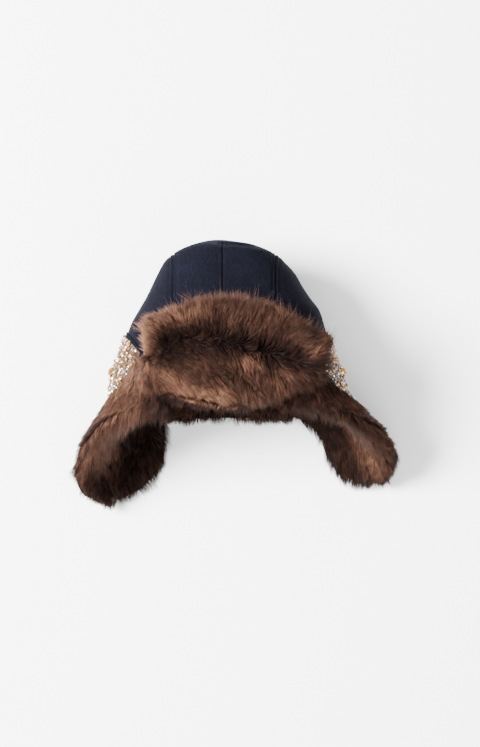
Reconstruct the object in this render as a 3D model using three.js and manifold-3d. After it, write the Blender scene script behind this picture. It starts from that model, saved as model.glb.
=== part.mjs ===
// A trapper hat in navy cloth and long brown shearling, lying on its back with the front up.
// Units are millimetres. X runs across the hat, Y from the nape towards the top of the crown, and Z from
// the surface that it lies on towards the front of the hat. Y = 0 is the brow edge while the hat is built,
// and at the end the whole hat is shifted so that the origin is below the middle of its outer box.
import * as THREE from "three";
import Module from "manifold-3d";

const wasm = await Module();
wasm.setup();

// Driving dimensions of the crown
const crownHeight = 160; // brow edge to the top
const crownWidth = 200; // outside, above the ears
const crownDepth = 168; // resting surface to the front of the brow
const crownCloth = 2.5; // padded cloth wall
const liningPile = 8; // shearling wall inside the crown
const napeDrop = 12; // nape edge below the brow edge
const archRise = 60; // top of the arch over the ear, above the brow edge
const archSpanDeg = 58; // half the arch's span round the crown
const leftSeamX = -53;
const centreSeamX = -4;
const rightSeamX = 48;
const topCreaseDepth = 3; // soft fold across the top of the crown

// Driving dimensions of the visor
const visorHeight = 98; // turned-up cloth at its middle
const visorLeftSpanDeg = 38; // round the crown, from its middle
const visorRightSpanDeg = 50;
const visorCloth = 2.5;
const visorStandOff = 5; // gap behind the visor's top edge
const visorEndLift = 9; // how far the visor's ends stand off the crown
const visorFold = 4; // depth of the fold under the brow edge
const visorPile = 21; // shearling on the visor

// Driving dimensions of the ear flaps
const flapLength = 104; // brow level to the tip
const flapHalfWidth = 60;
const flapRearShare = 1.16; // width behind the middle, against the width before it
const flapCloth = 2.2;
const flapOverlap = 8; // over the crown's arched edge
const flapFlare = 0.32; // outward slope below the arch
const tipSquareness = 3.4; // exponent of the tip's rounding
const flapRearDrop = 30; // how much lower the rear edge starts, at the nape
const flapFrontDrop = 18; // how much lower the front edge starts, at the brow
const flapPile = 15; // shearling on the inner side
const flapRim = 8; // shearling beyond the cloth's edge
const flapRimWrap = 11; // shearling turned over the cloth's outer face
const flapRimLip = 4.5; // thickness of the turned-over edge

// Driving dimensions of the nape trim
const napePile = 9;
const napeLip = 7; // shearling below the nape edge
const napeRise = 26; // shearling above the brow level, inside
const napeLockReach = 8; // locks below the shearling's lip
const napeLockRadius = 5;
const napeSpanDeg = 33; // half its span round the back

// Driving dimensions of the stones
const netThickness = 0.8; // stitched ground that carries the stones
const netEdge = 0.76; // rear edge of the ground, share of the half width
const netInset = 0.06; // from the turned-over pile to the ground, share of the half width
const seatHeight = 1.6; // cup under a main stone, above the ground
const seatRim = 0.6; // cup beyond the main stone's girdle
const smallStone = 6.4; // base diameter of the small stones
const mainStone = 9.5; // girdle diameter of the main stones
const stoneHeight = 0.5; // height of a stone as a share of its diameter
const stoneRows = 5;
const stoneColumns = 5;

// Clearances and mesh steps
const gap = 0.3;
const weldStep = 0.002;
const pileSliver = 0.2;
const sliver = 0.02;
const aroundSteps = 30;
const crownRows = 8;

const rad = THREE.MathUtils.degToRad;
const lerp = THREE.MathUtils.lerp;
const clamp = THREE.MathUtils.clamp;
const smooth = (x, low, high) => THREE.MathUtils.smoothstep(x, low, high);

// Crown sections from the top down. drop: share of the crown's height below its top. half: share of half
// the width. shift: sideways, share of the width. front, back: levels, shares of the depth.
const crownSections = [
  { drop: 0, half: 0, shift: -0.045, front: 0.55, back: 0.55 },
  { drop: 0.012, half: 0.16, shift: -0.037, front: 0.65, back: 0.47 },
  { drop: 0.028, half: 0.265, shift: -0.022, front: 0.72, back: 0.41 },
  { drop: 0.065, half: 0.425, shift: -0.018, front: 0.785, back: 0.33 },
  { drop: 0.103, half: 0.535, shift: -0.013, front: 0.81, back: 0.27 },
  { drop: 0.14, half: 0.595, shift: -0.013, front: 0.83, back: 0.22 },
  { drop: 0.215, half: 0.685, shift: -0.003, front: 0.86, back: 0.145 },
  { drop: 0.29, half: 0.75, shift: 0, front: 0.89, back: 0.085 },
  { drop: 0.365, half: 0.82, shift: 0.005, front: 0.915, back: 0.035 },
  { drop: 0.44, half: 0.9, shift: 0.01, front: 0.94, back: 0 },
  { drop: 0.515, half: 0.955, shift: 0.003, front: 0.955, back: -0.02 },
  { drop: 0.59, half: 0.99, shift: 0, front: 0.97, back: -0.03 },
  { drop: 0.75, half: 1, shift: 0, front: 0.985, back: -0.03 },
  { drop: 1, half: 1, shift: 0, front: 1, back: -0.03 },
  { drop: 1.2, half: 0.985, shift: 0, front: 1, back: -0.03 },
];
const frontSquareness = 2.5; // exponent of the section's front half
const backSquareness = 2.9;
const widestLevel = 0.47; // share of the section's depth at which it is widest

// Visor outline. across: -1 left end, 1 right end. low, high: shares of the visor's height.
const visorOutline = [
  { across: -1, low: 0.24, high: 0.6 },
  { across: -0.85, low: 0.13, high: 0.74 },
  { across: -0.58, low: 0.07, high: 0.85 },
  { across: -0.3, low: 0.02, high: 0.92 },
  { across: 0, low: -0.03, high: 0.96 },
  { across: 0.2, low: -0.01, high: 0.93 },
  { across: 0.5, low: 0.11, high: 0.79 },
  { across: 0.75, low: 0.2, high: 0.62 },
  { across: 1, low: 0.32, high: 0.44 },
];
// Pile over the visor. up: share from its lower to its upper edge. pile: share of the visor's pile.
const visorRidges = [
  { up: 0, pile: 0.42 },
  { up: 0.12, pile: 0.86 },
  { up: 0.3, pile: 0.98 },
  { up: 0.52, pile: 0.72 },
  { up: 0.66, pile: 0.6 },
  { up: 0.84, pile: 0.95 },
  { up: 0.95, pile: 0.8 },
  { up: 1, pile: 0.42 },
];

// Ear flaps below the crown. along: share of the way from the arch to the tip. out: centre of the section
// from the hat's middle, share of half the crown's width. down: below the brow, share of the flap's length.
// level: share of the crown's depth. half: share of the flap's half width. turn, lean: degrees that the
// section turns face up, and leans with the flap. curl: share of the half width.
const leftFlapSections = [
  { along: 0.4, out: 1.09, down: -0.12, level: 0.44, half: 1.04, turn: 6, lean: 8, curl: 0.26 },
  { along: 0.55, out: 1.12, down: 0.08, level: 0.36, half: 0.98, turn: 18, lean: 14, curl: 0.24 },
  { along: 0.7, out: 1.2, down: 0.33, level: 0.27, half: 0.86, turn: 28, lean: 12, curl: 0.26 },
  { along: 0.85, out: 1.27, down: 0.61, level: 0.17, half: 0.76, turn: 40, lean: 4, curl: 0.3 },
  { along: 1, out: 1.26, down: 0.95, level: 0.11, half: 0.74, turn: 46, lean: 0, curl: 0.28 },
];
const rightFlapSections = [
  { along: 0.4, out: 1.14, down: -0.14, level: 0.44, half: 1.0, turn: 3, lean: 14, curl: 0.24 },
  { along: 0.55, out: 1.24, down: 0.04, level: 0.37, half: 0.84, turn: 10, lean: 26, curl: 0.2 },
  { along: 0.7, out: 1.36, down: 0.26, level: 0.28, half: 0.72, turn: 20, lean: 34, curl: 0.2 },
  { along: 0.85, out: 1.48, down: 0.5, level: 0.18, half: 0.66, turn: 32, lean: 38, curl: 0.26 },
  { along: 1, out: 1.6, down: 0.72, level: 0.12, half: 0.64, turn: 40, lean: 38, curl: 0.26 },
];

// Pile turned over the front edge of each ear flap. share: of the half width, where it ends.
const flapFrontBand = [
  { along: 0, share: 0.64 },
  { along: 0.1, share: 0.6 },
  { along: 0.3, share: 0.5 },
  { along: 0.5, share: 0.3 },
  { along: 0.65, share: 0.36 },
  { along: 0.8, share: 0.55 },
  { along: 0.9, share: 0.8 },
];
const flaps = [
  { name: "left", side: -1, sections: leftFlapSections },
  { name: "right", side: 1, sections: rightFlapSections },
];

// Reads a table's column at x, with a smooth curve through the rows.
function read(table, key, column, x) {
  const last = table.length - 1;
  let i = 0;
  while (i < last - 1 && x > table[i + 1][key]) i += 1;
  const a = table[i];
  const b = table[i + 1];
  const before = table[Math.max(i - 1, 0)];
  const after = table[Math.min(i + 2, last)];
  const step = b[key] - a[key];
  const t = clamp((x - a[key]) / step, 0, 1);
  const slopeA = ((b[column] - before[column]) / (b[key] - before[key])) * step;
  const slopeB = ((after[column] - a[column]) / (after[key] - a[key])) * step;
  const t2 = t * t;
  const t3 = t2 * t;
  return (
    (2 * t3 - 3 * t2 + 1) * a[column] +
    (t3 - 2 * t2 + t) * slopeA +
    (3 * t2 - 2 * t3) * b[column] +
    (t3 - t2) * slopeB
  );
}

// The crown's sections are read against the root of the drop, so that the dome closes round.
const crownTable = crownSections.map((row) => ({ ...row, root: Math.sqrt(row.drop) }));

// A point on the crown at height y and angle phi (0 at the right side, 90 degrees at the front), moved
// out of its outer face by the given distance, or into the wall where that is negative.
function crownPoint(y, phi, out) {
  const height = crownHeight + out;
  const root = Math.sqrt(clamp((height - y) / height, 0, 1.2));
  const half = (crownWidth / 2) * read(crownTable, "root", "half", root);
  const front = crownDepth * read(crownTable, "root", "front", root);
  const back = crownDepth * read(crownTable, "root", "back", root);
  const shift = crownWidth * read(crownTable, "root", "shift", root);
  const middle = back + widestLevel * (front - back);
  const sine = Math.sin(phi);
  const cosine = Math.cos(phi);
  const power = 2 / (sine > 0 ? frontSquareness : backSquareness);
  const across = Math.sign(cosine) * Math.abs(cosine) ** power;
  const up = Math.sign(sine) * Math.abs(sine) ** power;
  const fold = Math.exp(-(((root ** 2 - 0.035) / 0.02) ** 2)) * smooth(root, 0, 0.17);
  const crease = topCreaseDepth * fold * Math.max(up, 0) ** 2;
  const level = Math.max(middle + (sine > 0 ? front - middle : middle - back) * up - crease, 0);
  const wide = (crownWidth / 2 + out) / (crownWidth / 2);
  const deep = (crownDepth / 2 + out) / (crownDepth / 2);
  return new THREE.Vector3(
    (shift + half * across) * wide,
    y,
    crownDepth / 2 + (level - crownDepth / 2) * deep,
  );
}

// The crown's lower edge: level at the brow, lower at the nape, and arched over each ear.
const crownBase = (phi) => -napeDrop * smooth(-Math.sin(phi), 0, 0.8);
function crownEdge(phi) {
  const fromSide = Math.abs(Math.asin(clamp(Math.sin(phi), -1, 1)));
  const share = clamp(fromSide / rad(archSpanDeg), 0, 1);
  const base = crownBase(phi);
  return base + (archRise - base) * (1 - share ** 2) ** 0.65;
}

// A closed solid between two surfaces over the same (u, v) grid. Points that coincide are joined, so a
// row that shrinks to one point closes as a pole, and a grid that comes round on itself closes as a ring.
function between(upper, lower, uSteps, vSteps, ring = false) {
  const at = [];
  const corners = [];
  const sheet = (surface) =>
    Array.from({ length: uSteps + 1 }, (_, i) =>
      Array.from({ length: vSteps + 1 }, (_, j) => {
        at.push(...surface(i / uSteps, ring && j === vSteps ? 0 : j / vSteps).toArray());
        return at.length / 3 - 1;
      }),
    );
  const quad = (a, b, c, d) => corners.push(a, b, c, a, c, d);
  const top = sheet(upper);
  const bottom = sheet(lower);
  for (let i = 0; i < uSteps; i += 1)
    for (let j = 0; j < vSteps; j += 1) {
      quad(top[i][j], top[i][j + 1], top[i + 1][j + 1], top[i + 1][j]);
      quad(bottom[i][j], bottom[i + 1][j], bottom[i + 1][j + 1], bottom[i][j + 1]);
    }
  for (let j = 0; j < vSteps; j += 1) {
    quad(top[0][j], bottom[0][j], bottom[0][j + 1], top[0][j + 1]);
    quad(top[uSteps][j], top[uSteps][j + 1], bottom[uSteps][j + 1], bottom[uSteps][j]);
  }
  if (!ring)
    for (let i = 0; i < uSteps; i += 1) {
      quad(top[i][0], top[i + 1][0], bottom[i + 1][0], bottom[i][0]);
      quad(top[i][vSteps], bottom[i][vSteps], bottom[i + 1][vSteps], top[i + 1][vSteps]);
    }
  return welded(at, corners, weldStep);
}

// Points within a step of each other become one, and faces that vanish so are dropped.
function welded(at, corners, step) {
  const points = [];
  const index = new Map();
  const place = (corner) => {
    const key = [0, 1, 2].map((axis) => Math.round(at[3 * corner + axis] / step));
    const name = key.join();
    if (!index.has(name)) index.set(name, points.push(new THREE.Vector3(...key).multiplyScalar(step)) - 1);
    return index.get(name);
  };
  const placed = corners.map(place);
  const faces = [];
  for (let i = 0; i < placed.length; i += 3) {
    const [a, b, c] = placed.slice(i, i + 3);
    if (a !== b && b !== c && c !== a) faces.push(a, b, c);
  }
  return solid(points, faces);
}

function solid(points, faces) {
  const volume = (at) => {
    const [a, b, c] = [points[faces[at]], points[faces[at + 1]], points[faces[at + 2]]];
    return a.dot(b.clone().cross(c));
  };
  let sum = 0;
  for (let i = 0; i < faces.length; i += 3) sum += volume(i);
  if (sum < 0)
    for (let i = 0; i < faces.length; i += 3) [faces[i], faces[i + 1]] = [faces[i + 1], faces[i]];
  const vertProperties = new Float32Array(points.flatMap((p) => [p.x, p.y, p.z]));
  return new wasm.Manifold(
    new wasm.Mesh({ numProp: 3, vertProperties, triVerts: new Uint32Array(faces) }),
  );
}

// A closed three.js geometry as a solid.
function solidOf(geometry) {
  const at = geometry.getAttribute("position");
  const corners = geometry.index ? [...geometry.index.array] : [...Array(at.count).keys()];
  return welded(at.array, corners, weldStep);
}

function block(low, high) {
  const size = high.clone().sub(low);
  const box = new THREE.BoxGeometry(size.x, size.y, size.z);
  const middle = low.clone().add(high).multiplyScalar(0.5);
  return solidOf(box.translate(middle.x, middle.y, middle.z));
}

function weldedAgain(made, step) {
  const { vertProperties, triVerts } = made.getMesh();
  return welded([...vertProperties], [...triVerts], step);
}

// The largest body of a solid: what a cut leaves loose is dropped, and so are slivers.
function mainBody(made, tolerance = sliver) {
  const coarse = weldedAgain(made.simplify(tolerance), tolerance / 4).simplify(tolerance);
  const bodies = weldedAgain(coarse, weldStep).decompose();
  return bodies.reduce((a, b) => (b.volume() > a.volume() ? b : a));
}

const joined = (list) => list.reduce((a, b) => a.add(b));

// A piece cut to fit round the room that its neighbours take.
const fitted = (made, rooms, tolerance = pileSliver) =>
  mainBody(rooms.reduce((a, b) => a.subtract(b), made), tolerance);

const farAway = 4 * crownWidth;
const belowFloor = block(
  new THREE.Vector3(-farAway, -farAway, -farAway),
  new THREE.Vector3(farAway, farAway, 0),
);

// The crown's wall between two distances from its outer face.
function crownShell(outer, inner, edgeShift = 0, rows = crownRows, steps = aroundSteps) {
  const at = (out) => (u, v) => {
    const phi = 2 * Math.PI * v;
    const top = crownHeight + out;
    const low = crownEdge(phi) - edgeShift;
    return crownPoint(top - (top - low) * u ** 2, phi, out);
  };
  return between(at(outer), at(inner), rows, steps, true);
}

function crownPanels() {
  const cloth = crownShell(0, -crownCloth);
  const seams = [-farAway, leftSeamX, centreSeamX, rightSeamX, farAway];
  const names = ["crown_side_left", "crown_strip_left", "crown_strip_right", "crown_side_right"];
  return names.map((name, i) => {
    const slice = block(
      new THREE.Vector3(seams[i] + gap / 2, -farAway, -farAway),
      new THREE.Vector3(seams[i + 1] - gap / 2, farAway, farAway),
    );
    return { name, made: mainBody(cloth.intersect(slice)) };
  });
}

// A point of the visor. across: -1 to 1. up: 0 at the fold, 1 at the free edge. out: from its inner face.
function visorPoint(across, up, out, grow = 0) {
  const low = visorHeight * read(visorOutline, "across", "low", across) - grow;
  const high = visorHeight * read(visorOutline, "across", "high", across) + grow;
  const span = across < 0 ? visorLeftSpanDeg : visorRightSpanDeg;
  const phi = rad(90 - across * (span + (grow / crownWidth) * 115));
  const lift =
    gap + visorStandOff * clamp(up, 0, 1) + visorEndLift * smooth(Math.abs(across), 0.45, 1);
  return crownPoint(lerp(low, high, up), phi, lift + out);
}

function visorSlab(outer, inner, grow, upSteps = 5, acrossSteps = 12, wider = 0) {
  const at = (out) => (u, v) => {
    const across = lerp(-1, 1, v) + (v === 1 ? wider : 0) - (v === 0 ? wider : 0);
    const up = u + (u === 1 ? wider : 0) - (u === 0 ? wider : 0);
    return visorPoint(across, up, typeof out === "function" ? out(u, across) : out, grow);
  };
  return between(at(outer), at(inner), upSteps, acrossSteps);
}

// Pile height over the visor, rounded off at its ends.
function visorPileAt(up, across) {
  const end = Math.sqrt(1 - 0.75 * Math.abs(across) ** 4);
  return visorCloth + visorPile * read(visorRidges, "up", "pile", up) * end;
}

// A point of an ear flap. along: 0 at the top edge, 1 at the tip. across: -1 rear, 1 front. inwards: out of
// its inner face. grow: beyond the cloth's edge. lap: how far its top edge stands above the arch.
function flapSurface(flap, along, across, grow, lap, tip) {
  const centre = flap.side > 0 ? 0 : Math.PI;
  const spread = rad(archSpanDeg) + grow / (crownWidth / 2);
  const phi = centre + flap.side * across * spread;
  const arch = crownEdge(phi);
  const browRow = 0.45;
  const y = lerp(arch + lap, crownBase(phi), along / browRow);
  const hug = crownPoint(y, phi, gap);
  hug.x += flap.side * flapFlare * Math.max(arch - y, 0);
  const row = (column) => read(flap.sections, "along", column, along);
  const half = flapHalfWidth * row("half");
  const round = Math.sqrt(Math.max(1 - Math.max((along - 0.7) / 0.3, 0) ** tipSquareness, 0));
  const rear = across < 0 ? flapRearShare : 1;
  const reach = (half + grow) * round * across * rear;
  const turn = rad(row("turn"));
  const lean = rad(row("lean"));
  const face = new THREE.Vector3(-flap.side * Math.cos(turn), 0, Math.sin(turn));
  const wide = new THREE.Vector3(
    flap.side * Math.sin(turn) * Math.cos(lean),
    Math.sin(turn) * Math.sin(lean),
    Math.cos(turn),
  );
  const down = new THREE.Vector3(flap.side * Math.sin(lean), -Math.cos(lean), 0);
  const trough = new THREE.Vector3(
    flap.side * (crownWidth / 2) * row("out"),
    -flapLength * row("down"),
    crownDepth * row("level"),
  );
  trough.addScaledVector(wide, reach);
  trough.addScaledVector(face, half * row("curl") * (reach / half) ** 2);
  trough.addScaledVector(down, tip * smooth(along, 0.7, 1));
  const drop = across < 0 ? flapRearDrop : flapFrontDrop;
  trough.y -= drop * Math.abs(across) ** 1.5 * (1 - smooth(along, 0.45, 0.95));
  return hug.lerp(trough, smooth(along, 0.2, 0.62));
}

function flapPoint(flap, along, across, inwards, grow = 0, lap = flapOverlap, tip = grow) {
  const step = 0.01;
  const a = clamp(along, 0.02, 0.965);
  const c = clamp(across, -0.97, 0.97);
  const alongStep = flapSurface(flap, a + step, c, grow, lap, tip).sub(
    flapSurface(flap, a - step, c, grow, lap, tip),
  );
  const acrossStep = flapSurface(flap, a, c + step, grow, lap, tip).sub(
    flapSurface(flap, a, c - step, grow, lap, tip),
  );
  const inward = alongStep.cross(acrossStep).normalize().multiplyScalar(flap.side);
  return flapSurface(flap, along, across, grow, lap, tip).addScaledVector(inward, inwards);
}

function flapSlab(flap, outer, inner, shape = {}) {
  const { from = 0, to = 1, edge = 1, grow = 0, lap = flapOverlap, tip = grow } = shape;
  const { alongSteps = 10, acrossSteps = 8, wider = 0, front = () => edge } = shape;
  const at = (inwards) => (u, v) => {
    const along = lerp(from, to, u);
    const above = u === 0 ? 2 * wider * flapHalfWidth : 0;
    const across = lerp(-edge, front(along), v) + (v === 1 ? wider : 0) - (v === 0 ? wider : 0);
    const height = typeof inwards === "function" ? inwards(along, across) : inwards;
    return flapPoint(flap, along, across, height, grow, lap + above, tip);
  };
  return between(at(inner), at(outer), alongSteps, acrossSteps);
}

// A pointed lock of pile: a cone from inside the backing along the pile's direction.
function lock(base, direction, length, radius, sides = 4) {
  const cone = new THREE.ConeGeometry(radius, length, sides);
  cone.translate(0, length / 2, 0);
  const turn = new THREE.Quaternion().setFromUnitVectors(
    new THREE.Vector3(0, 1, 0),
    direction.clone().normalize(),
  );
  cone.applyQuaternion(turn);
  cone.translate(base.x, base.y, base.z);
  return solidOf(cone);
}

// Locks over the visor: those above the parting lie upwards and those below it lie downwards.
const visorLockLength = 26;
const visorLockRadius = 9;
const visorParting = 0.6; // share of the visor's height
function visorLocks() {
  const rows = [0.06, 0.3, 0.5, 0.74, 0.95];
  const perRow = 7;
  return rows.flatMap((up, r) =>
    Array.from({ length: perRow }, (_, k) => {
      const across = lerp(-0.92, 0.92, (k + 0.25 + 0.5 * (r % 2)) / perRow);
      const pile = visorPileAt(up, across);
      const root = visorPoint(across, up, pile - visorLockRadius);
      const surface = visorPoint(across, up, pile);
      const towards = up > visorParting ? 0.12 : -0.12;
      const ahead = visorPoint(across * 1.02, up + towards, pile + 3);
      return lock(root, ahead.sub(surface), visorLockLength * 0.8, visorLockRadius);
    }),
  );
}

const flapLockLength = 28;
const flapLockRadius = 8.5;
const flapBodyPile = (along, across) => flapPile * Math.sqrt(Math.max(1 - 0.55 * across ** 6, 0));
function flapLocks(flap) {
  const rows = [0.34, 0.52, 0.7, 0.84];
  const columns = [-0.95, -0.32, 0.32, 0.95];
  const inside = rows.flatMap((along, r) =>
    columns.map((column) => {
      const across = clamp(column + (r % 2 ? 0.12 : -0.12), -1, 1);
      const height = flapBodyPile(along, across) - flapLockRadius * 0.8;
      const root = flapPoint(flap, along, across, height, flapRim * 0.5, -gap);
      const ahead = flapPoint(flap, along + 0.1, across * 1.12, height + 3, flapRim, -gap);
      return lock(root, ahead.sub(root), flapLockLength, flapLockRadius);
    }),
  );
  const tipLocks = 5;
  const tip = Array.from({ length: tipLocks }, (_, k) => {
    const across = lerp(-0.9, 0.9, k / (tipLocks - 1));
    const root = flapPoint(flap, 0.92, across, flapPile * 0.3, 0, -gap);
    const ahead = flapPoint(flap, 0.985, across, flapPile * 0.3, flapRim * 2.4, -gap);
    return lock(root, ahead.sub(root), flapLockLength * 0.85, flapLockRadius);
  });
  return [...inside, ...tip];
}

function napeBody(grow = 0) {
  const span = rad(napeSpanDeg + grow);
  const start = rad(270) - span;
  const end = rad(270) + span;
  const at = (low, high, out) => (u, v) => crownPoint(lerp(high, low, u), lerp(start, end, v), out);
  const inside = -(crownCloth + liningPile + 3 * gap);
  const edge = -napeDrop - 2 * gap;
  const low = edge - napeLip - grow;
  const inner = inside - napePile - grow;
  const lip = between(at(low, edge, grow), at(low, edge, inner), 2, 10);
  const roll = between(at(low, napeRise + grow, inside), at(low, napeRise + grow, inner), 3, 10);
  const lockCount = 9;
  const locks = Array.from({ length: lockCount }, (_, k) => {
    const phi = lerp(start, end, (k + 0.5) / lockCount);
    const root = crownPoint(edge - 1, phi, -napePile * (k % 2 ? 0.55 : 1.2));
    const hang = new THREE.Vector3(0, -1, k % 2 ? -0.08 : 0.1);
    return lock(root, hang, napeLip + napeLockReach + grow, napeLockRadius + grow);
  });
  return joined([lip, roll, ...locks]);
}

// A cut stone: a table and eight facets over an eight-sided girdle, on a short straight base.
function stone(diameter, height, sink) {
  const girdle = diameter / 2;
  const tableShare = height < diameter / 4 ? 0.9 : 0.55;
  const baseShare = 0.35;
  const base = sink > 0 ? [] : [new THREE.Vector2(girdle, 0)];
  const profile = [
    new THREE.Vector2(0, -sink),
    ...base,
    new THREE.Vector2(girdle, sink > 0 ? -sink : height * baseShare),
    new THREE.Vector2(girdle * tableShare, height),
    new THREE.Vector2(0, height),
  ];
  return new THREE.LatheGeometry(profile, 8);
}

function placedStone(flap, along, across, diameter, height, sink, level) {
  const at = flapPoint(flap, along, across, level);
  const outward = at.clone().sub(flapPoint(flap, along, across, level + 1)).normalize();
  const turn = new THREE.Quaternion().setFromUnitVectors(new THREE.Vector3(0, 1, 0), outward);
  const geometry = stone(diameter, height, sink);
  geometry.applyQuaternion(turn);
  geometry.translate(at.x, at.y, at.z);
  return solidOf(geometry);
}

const frontBand = (along) => read(flapFrontBand, "along", "share", along);
const netFront = (along) => frontBand(along) - netInset;

// Where the stones sit on a flap: a staggered grid, in which every fourth place takes a main stone.
function stonePlaces() {
  const first = 0.1;
  const last = 0.76;
  const inset = mainStone / 2 / flapHalfWidth + 0.02;
  return Array.from({ length: stoneRows * stoneColumns }, (_, k) => {
    const row = Math.floor(k / stoneColumns);
    const column = k % stoneColumns;
    const stagger = row % 2 ? 0.5 : 0;
    const along = lerp(first, last, row / (stoneRows - 1));
    return {
      along,
      across: lerp(inset - netEdge, netFront(along) - inset, (column + stagger) / (stoneColumns - 0.5)),
      main: (column + 2 * row) % 4 === 1,
    };
  });
}

// Materials
const cloth = new THREE.MeshStandardMaterial({ color: 0x1d2036, roughness: 0.8 });
const pile = new THREE.MeshStandardMaterial({ color: 0x5a3d2e, roughness: 0.95 });
const darkPile = new THREE.MeshStandardMaterial({ color: 0x2e201b, roughness: 0.95 });
const crystal = new THREE.MeshStandardMaterial({ color: 0xd9d0c0, roughness: 0.15, metalness: 0.4 });
const amber = new THREE.MeshStandardMaterial({ color: 0xb9832a, roughness: 0.1, metalness: 0.1 });

const hat = new THREE.Group();
function addPiece(name, made, material) {
  const mesh = made.getMesh();
  const geometry = new THREE.BufferGeometry();
  geometry.setAttribute("position", new THREE.BufferAttribute(new Float32Array(mesh.vertProperties), 3));
  geometry.setIndex(new THREE.BufferAttribute(new Uint32Array(mesh.triVerts), 1));
  geometry.computeVertexNormals();
  const piece = new THREE.Mesh(geometry, material);
  piece.name = name;
  hat.add(piece);
}

// The crown and its lining
const panels = crownPanels();
for (const { name, made } of panels) addPiece(name, made, cloth);
const liningOut = -(crownCloth + gap);
const lining = crownShell(liningOut, liningOut - liningPile);
addPiece("crown_lining", lining, darkPile);
const crownRoom = crownShell(3 * gap, liningOut - liningPile - 3 * gap, 3 * gap);

const crownSpace = crownShell(gap, liningOut - liningPile - gap, gap);

// The ear flaps' cloth, with the room that it takes
const flapRoom = {};
for (const flap of flaps) {
  const made = mainBody(flapSlab(flap, 0, -flapCloth).subtract(crownSpace).subtract(belowFloor));
  addPiece(`ear_flap_${flap.name}`, made, cloth);
  const grow = 2 * gap;
  const wider = grow / flapHalfWidth;
  flapRoom[flap.name] = flapSlab(flap, grow, -flapCloth - grow, {
    wider: 1.5 * wider,
    tip: grow,
  });
}
const bothFlaps = flapRoom.left.add(flapRoom.right);

// The visor: a turned-up flap of cloth whose fold goes under the brow edge
function visorFoldPart(grow) {
  const at = (out) => (u, v) => {
    const across = lerp(-1, 1, v) * (visorLeftSpanDeg * 0.65 + grow);
    return crownPoint(lerp(-gap - visorFold - grow, -gap + grow, u), rad(90 + across), out);
  };
  return between(at(gap + visorCloth + grow), at(-crownCloth - grow), 2, 12);
}
const visorCut = fitted(visorSlab(visorCloth, 0, 0).add(visorFoldPart(0)), [bothFlaps, crownSpace], sliver);
addPiece("visor_flap", visorCut, cloth);
const visorRoom = visorSlab(visorCloth + 3 * gap, -3 * gap, 0, 5, 12, 0.014).add(visorFoldPart(2 * gap));

// The pile on the visor
const visorBody = visorSlab(visorPileAt, 0.5, flapRim * 0.6, 8, 14);
const visorFur = fitted(
  joined([visorBody, ...visorLocks()]),
  [visorRoom, crownRoom, bothFlaps],
);
addPiece("visor_fur", visorFur, pile);
const visorFurRoom = visorSlab((u, a) => visorPileAt(u, a) + 2, -visorStandOff, flapRim * 0.6 + 2, 6, 12).add(
  visorFur,
);

// The pile on the nape
const napeFur = fitted(napeBody(), [bothFlaps, crownRoom, belowFloor]);
addPiece("nape_fur", napeFur, darkPile);
const napeRoom = napeBody(2 * gap);

// The pile and the stones of each ear flap
for (const flap of flaps) {
  const body = flapSlab(flap, flapBodyPile, -flapCloth - flapRimLip, {
    from: 0,
    grow: flapRim,
    lap: -gap,
    alongSteps: 10,
    acrossSteps: 10,
  });
  const rimShare = 1 - flapRimWrap / flapHalfWidth;
  const window = flapSlab(flap, gap, -flapCloth - 6 * flapRimLip, {
    to: 0.88,
    edge: rimShare,
    front: frontBand,
  });
  const earFur = fitted(
    joined([body, ...flapLocks(flap)]),
    [window, bothFlaps, crownRoom, visorFurRoom, visorRoom, napeRoom, belowFloor],
  );
  addPiece(`ear_fur_${flap.name}`, earFur, pile);

  const netFace = -flapCloth - 3 * gap - netThickness;
  const net = flapSlab(flap, netFace + netThickness, netFace, {
    from: 0.02,
    to: 0.84,
    edge: netEdge,
    front: netFront,
    alongSteps: 8,
    acrossSteps: 6,
  });
  const places = stonePlaces();
  const seats = places
    .filter((p) => p.main)
    .map((p) => placedStone(flap, p.along, p.across, mainStone + 2 * seatRim, seatHeight, netThickness, netFace));
  const small = places
    .filter((p) => !p.main)
    .map((p) =>
      placedStone(flap, p.along, p.across, smallStone, smallStone * stoneHeight, netThickness, netFace),
    );
  const field = fitted(
    joined([net, ...small, ...seats]),
    [flapRoom[flap.name], visorFurRoom, visorRoom, belowFloor],
  );
  addPiece(`crystals_${flap.name}`, field, crystal);
  places
    .filter((p) => p.main)
    .forEach((p, i) => {
      const level = netFace - seatHeight - gap;
      const made = placedStone(flap, p.along, p.across, mainStone, mainStone * stoneHeight, 0, level);
      addPiece(`stone_${flap.name}_${i + 1}`, made, amber);
    });
}

// The origin goes below the middle of the outer box.
hat.updateMatrixWorld(true);
const outerBox = new THREE.Box3().setFromObject(hat, true);
const middle = outerBox.getCenter(new THREE.Vector3());
const onStep = (c) => Math.round(c / weldStep) * weldStep;
hat.position.set(onStep(-middle.x), onStep(-middle.y), onStep(-outerBox.min.z));

export default hat;
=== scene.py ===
import math

import bmesh
import bpy
import numpy as np
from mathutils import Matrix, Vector, kdtree


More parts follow.
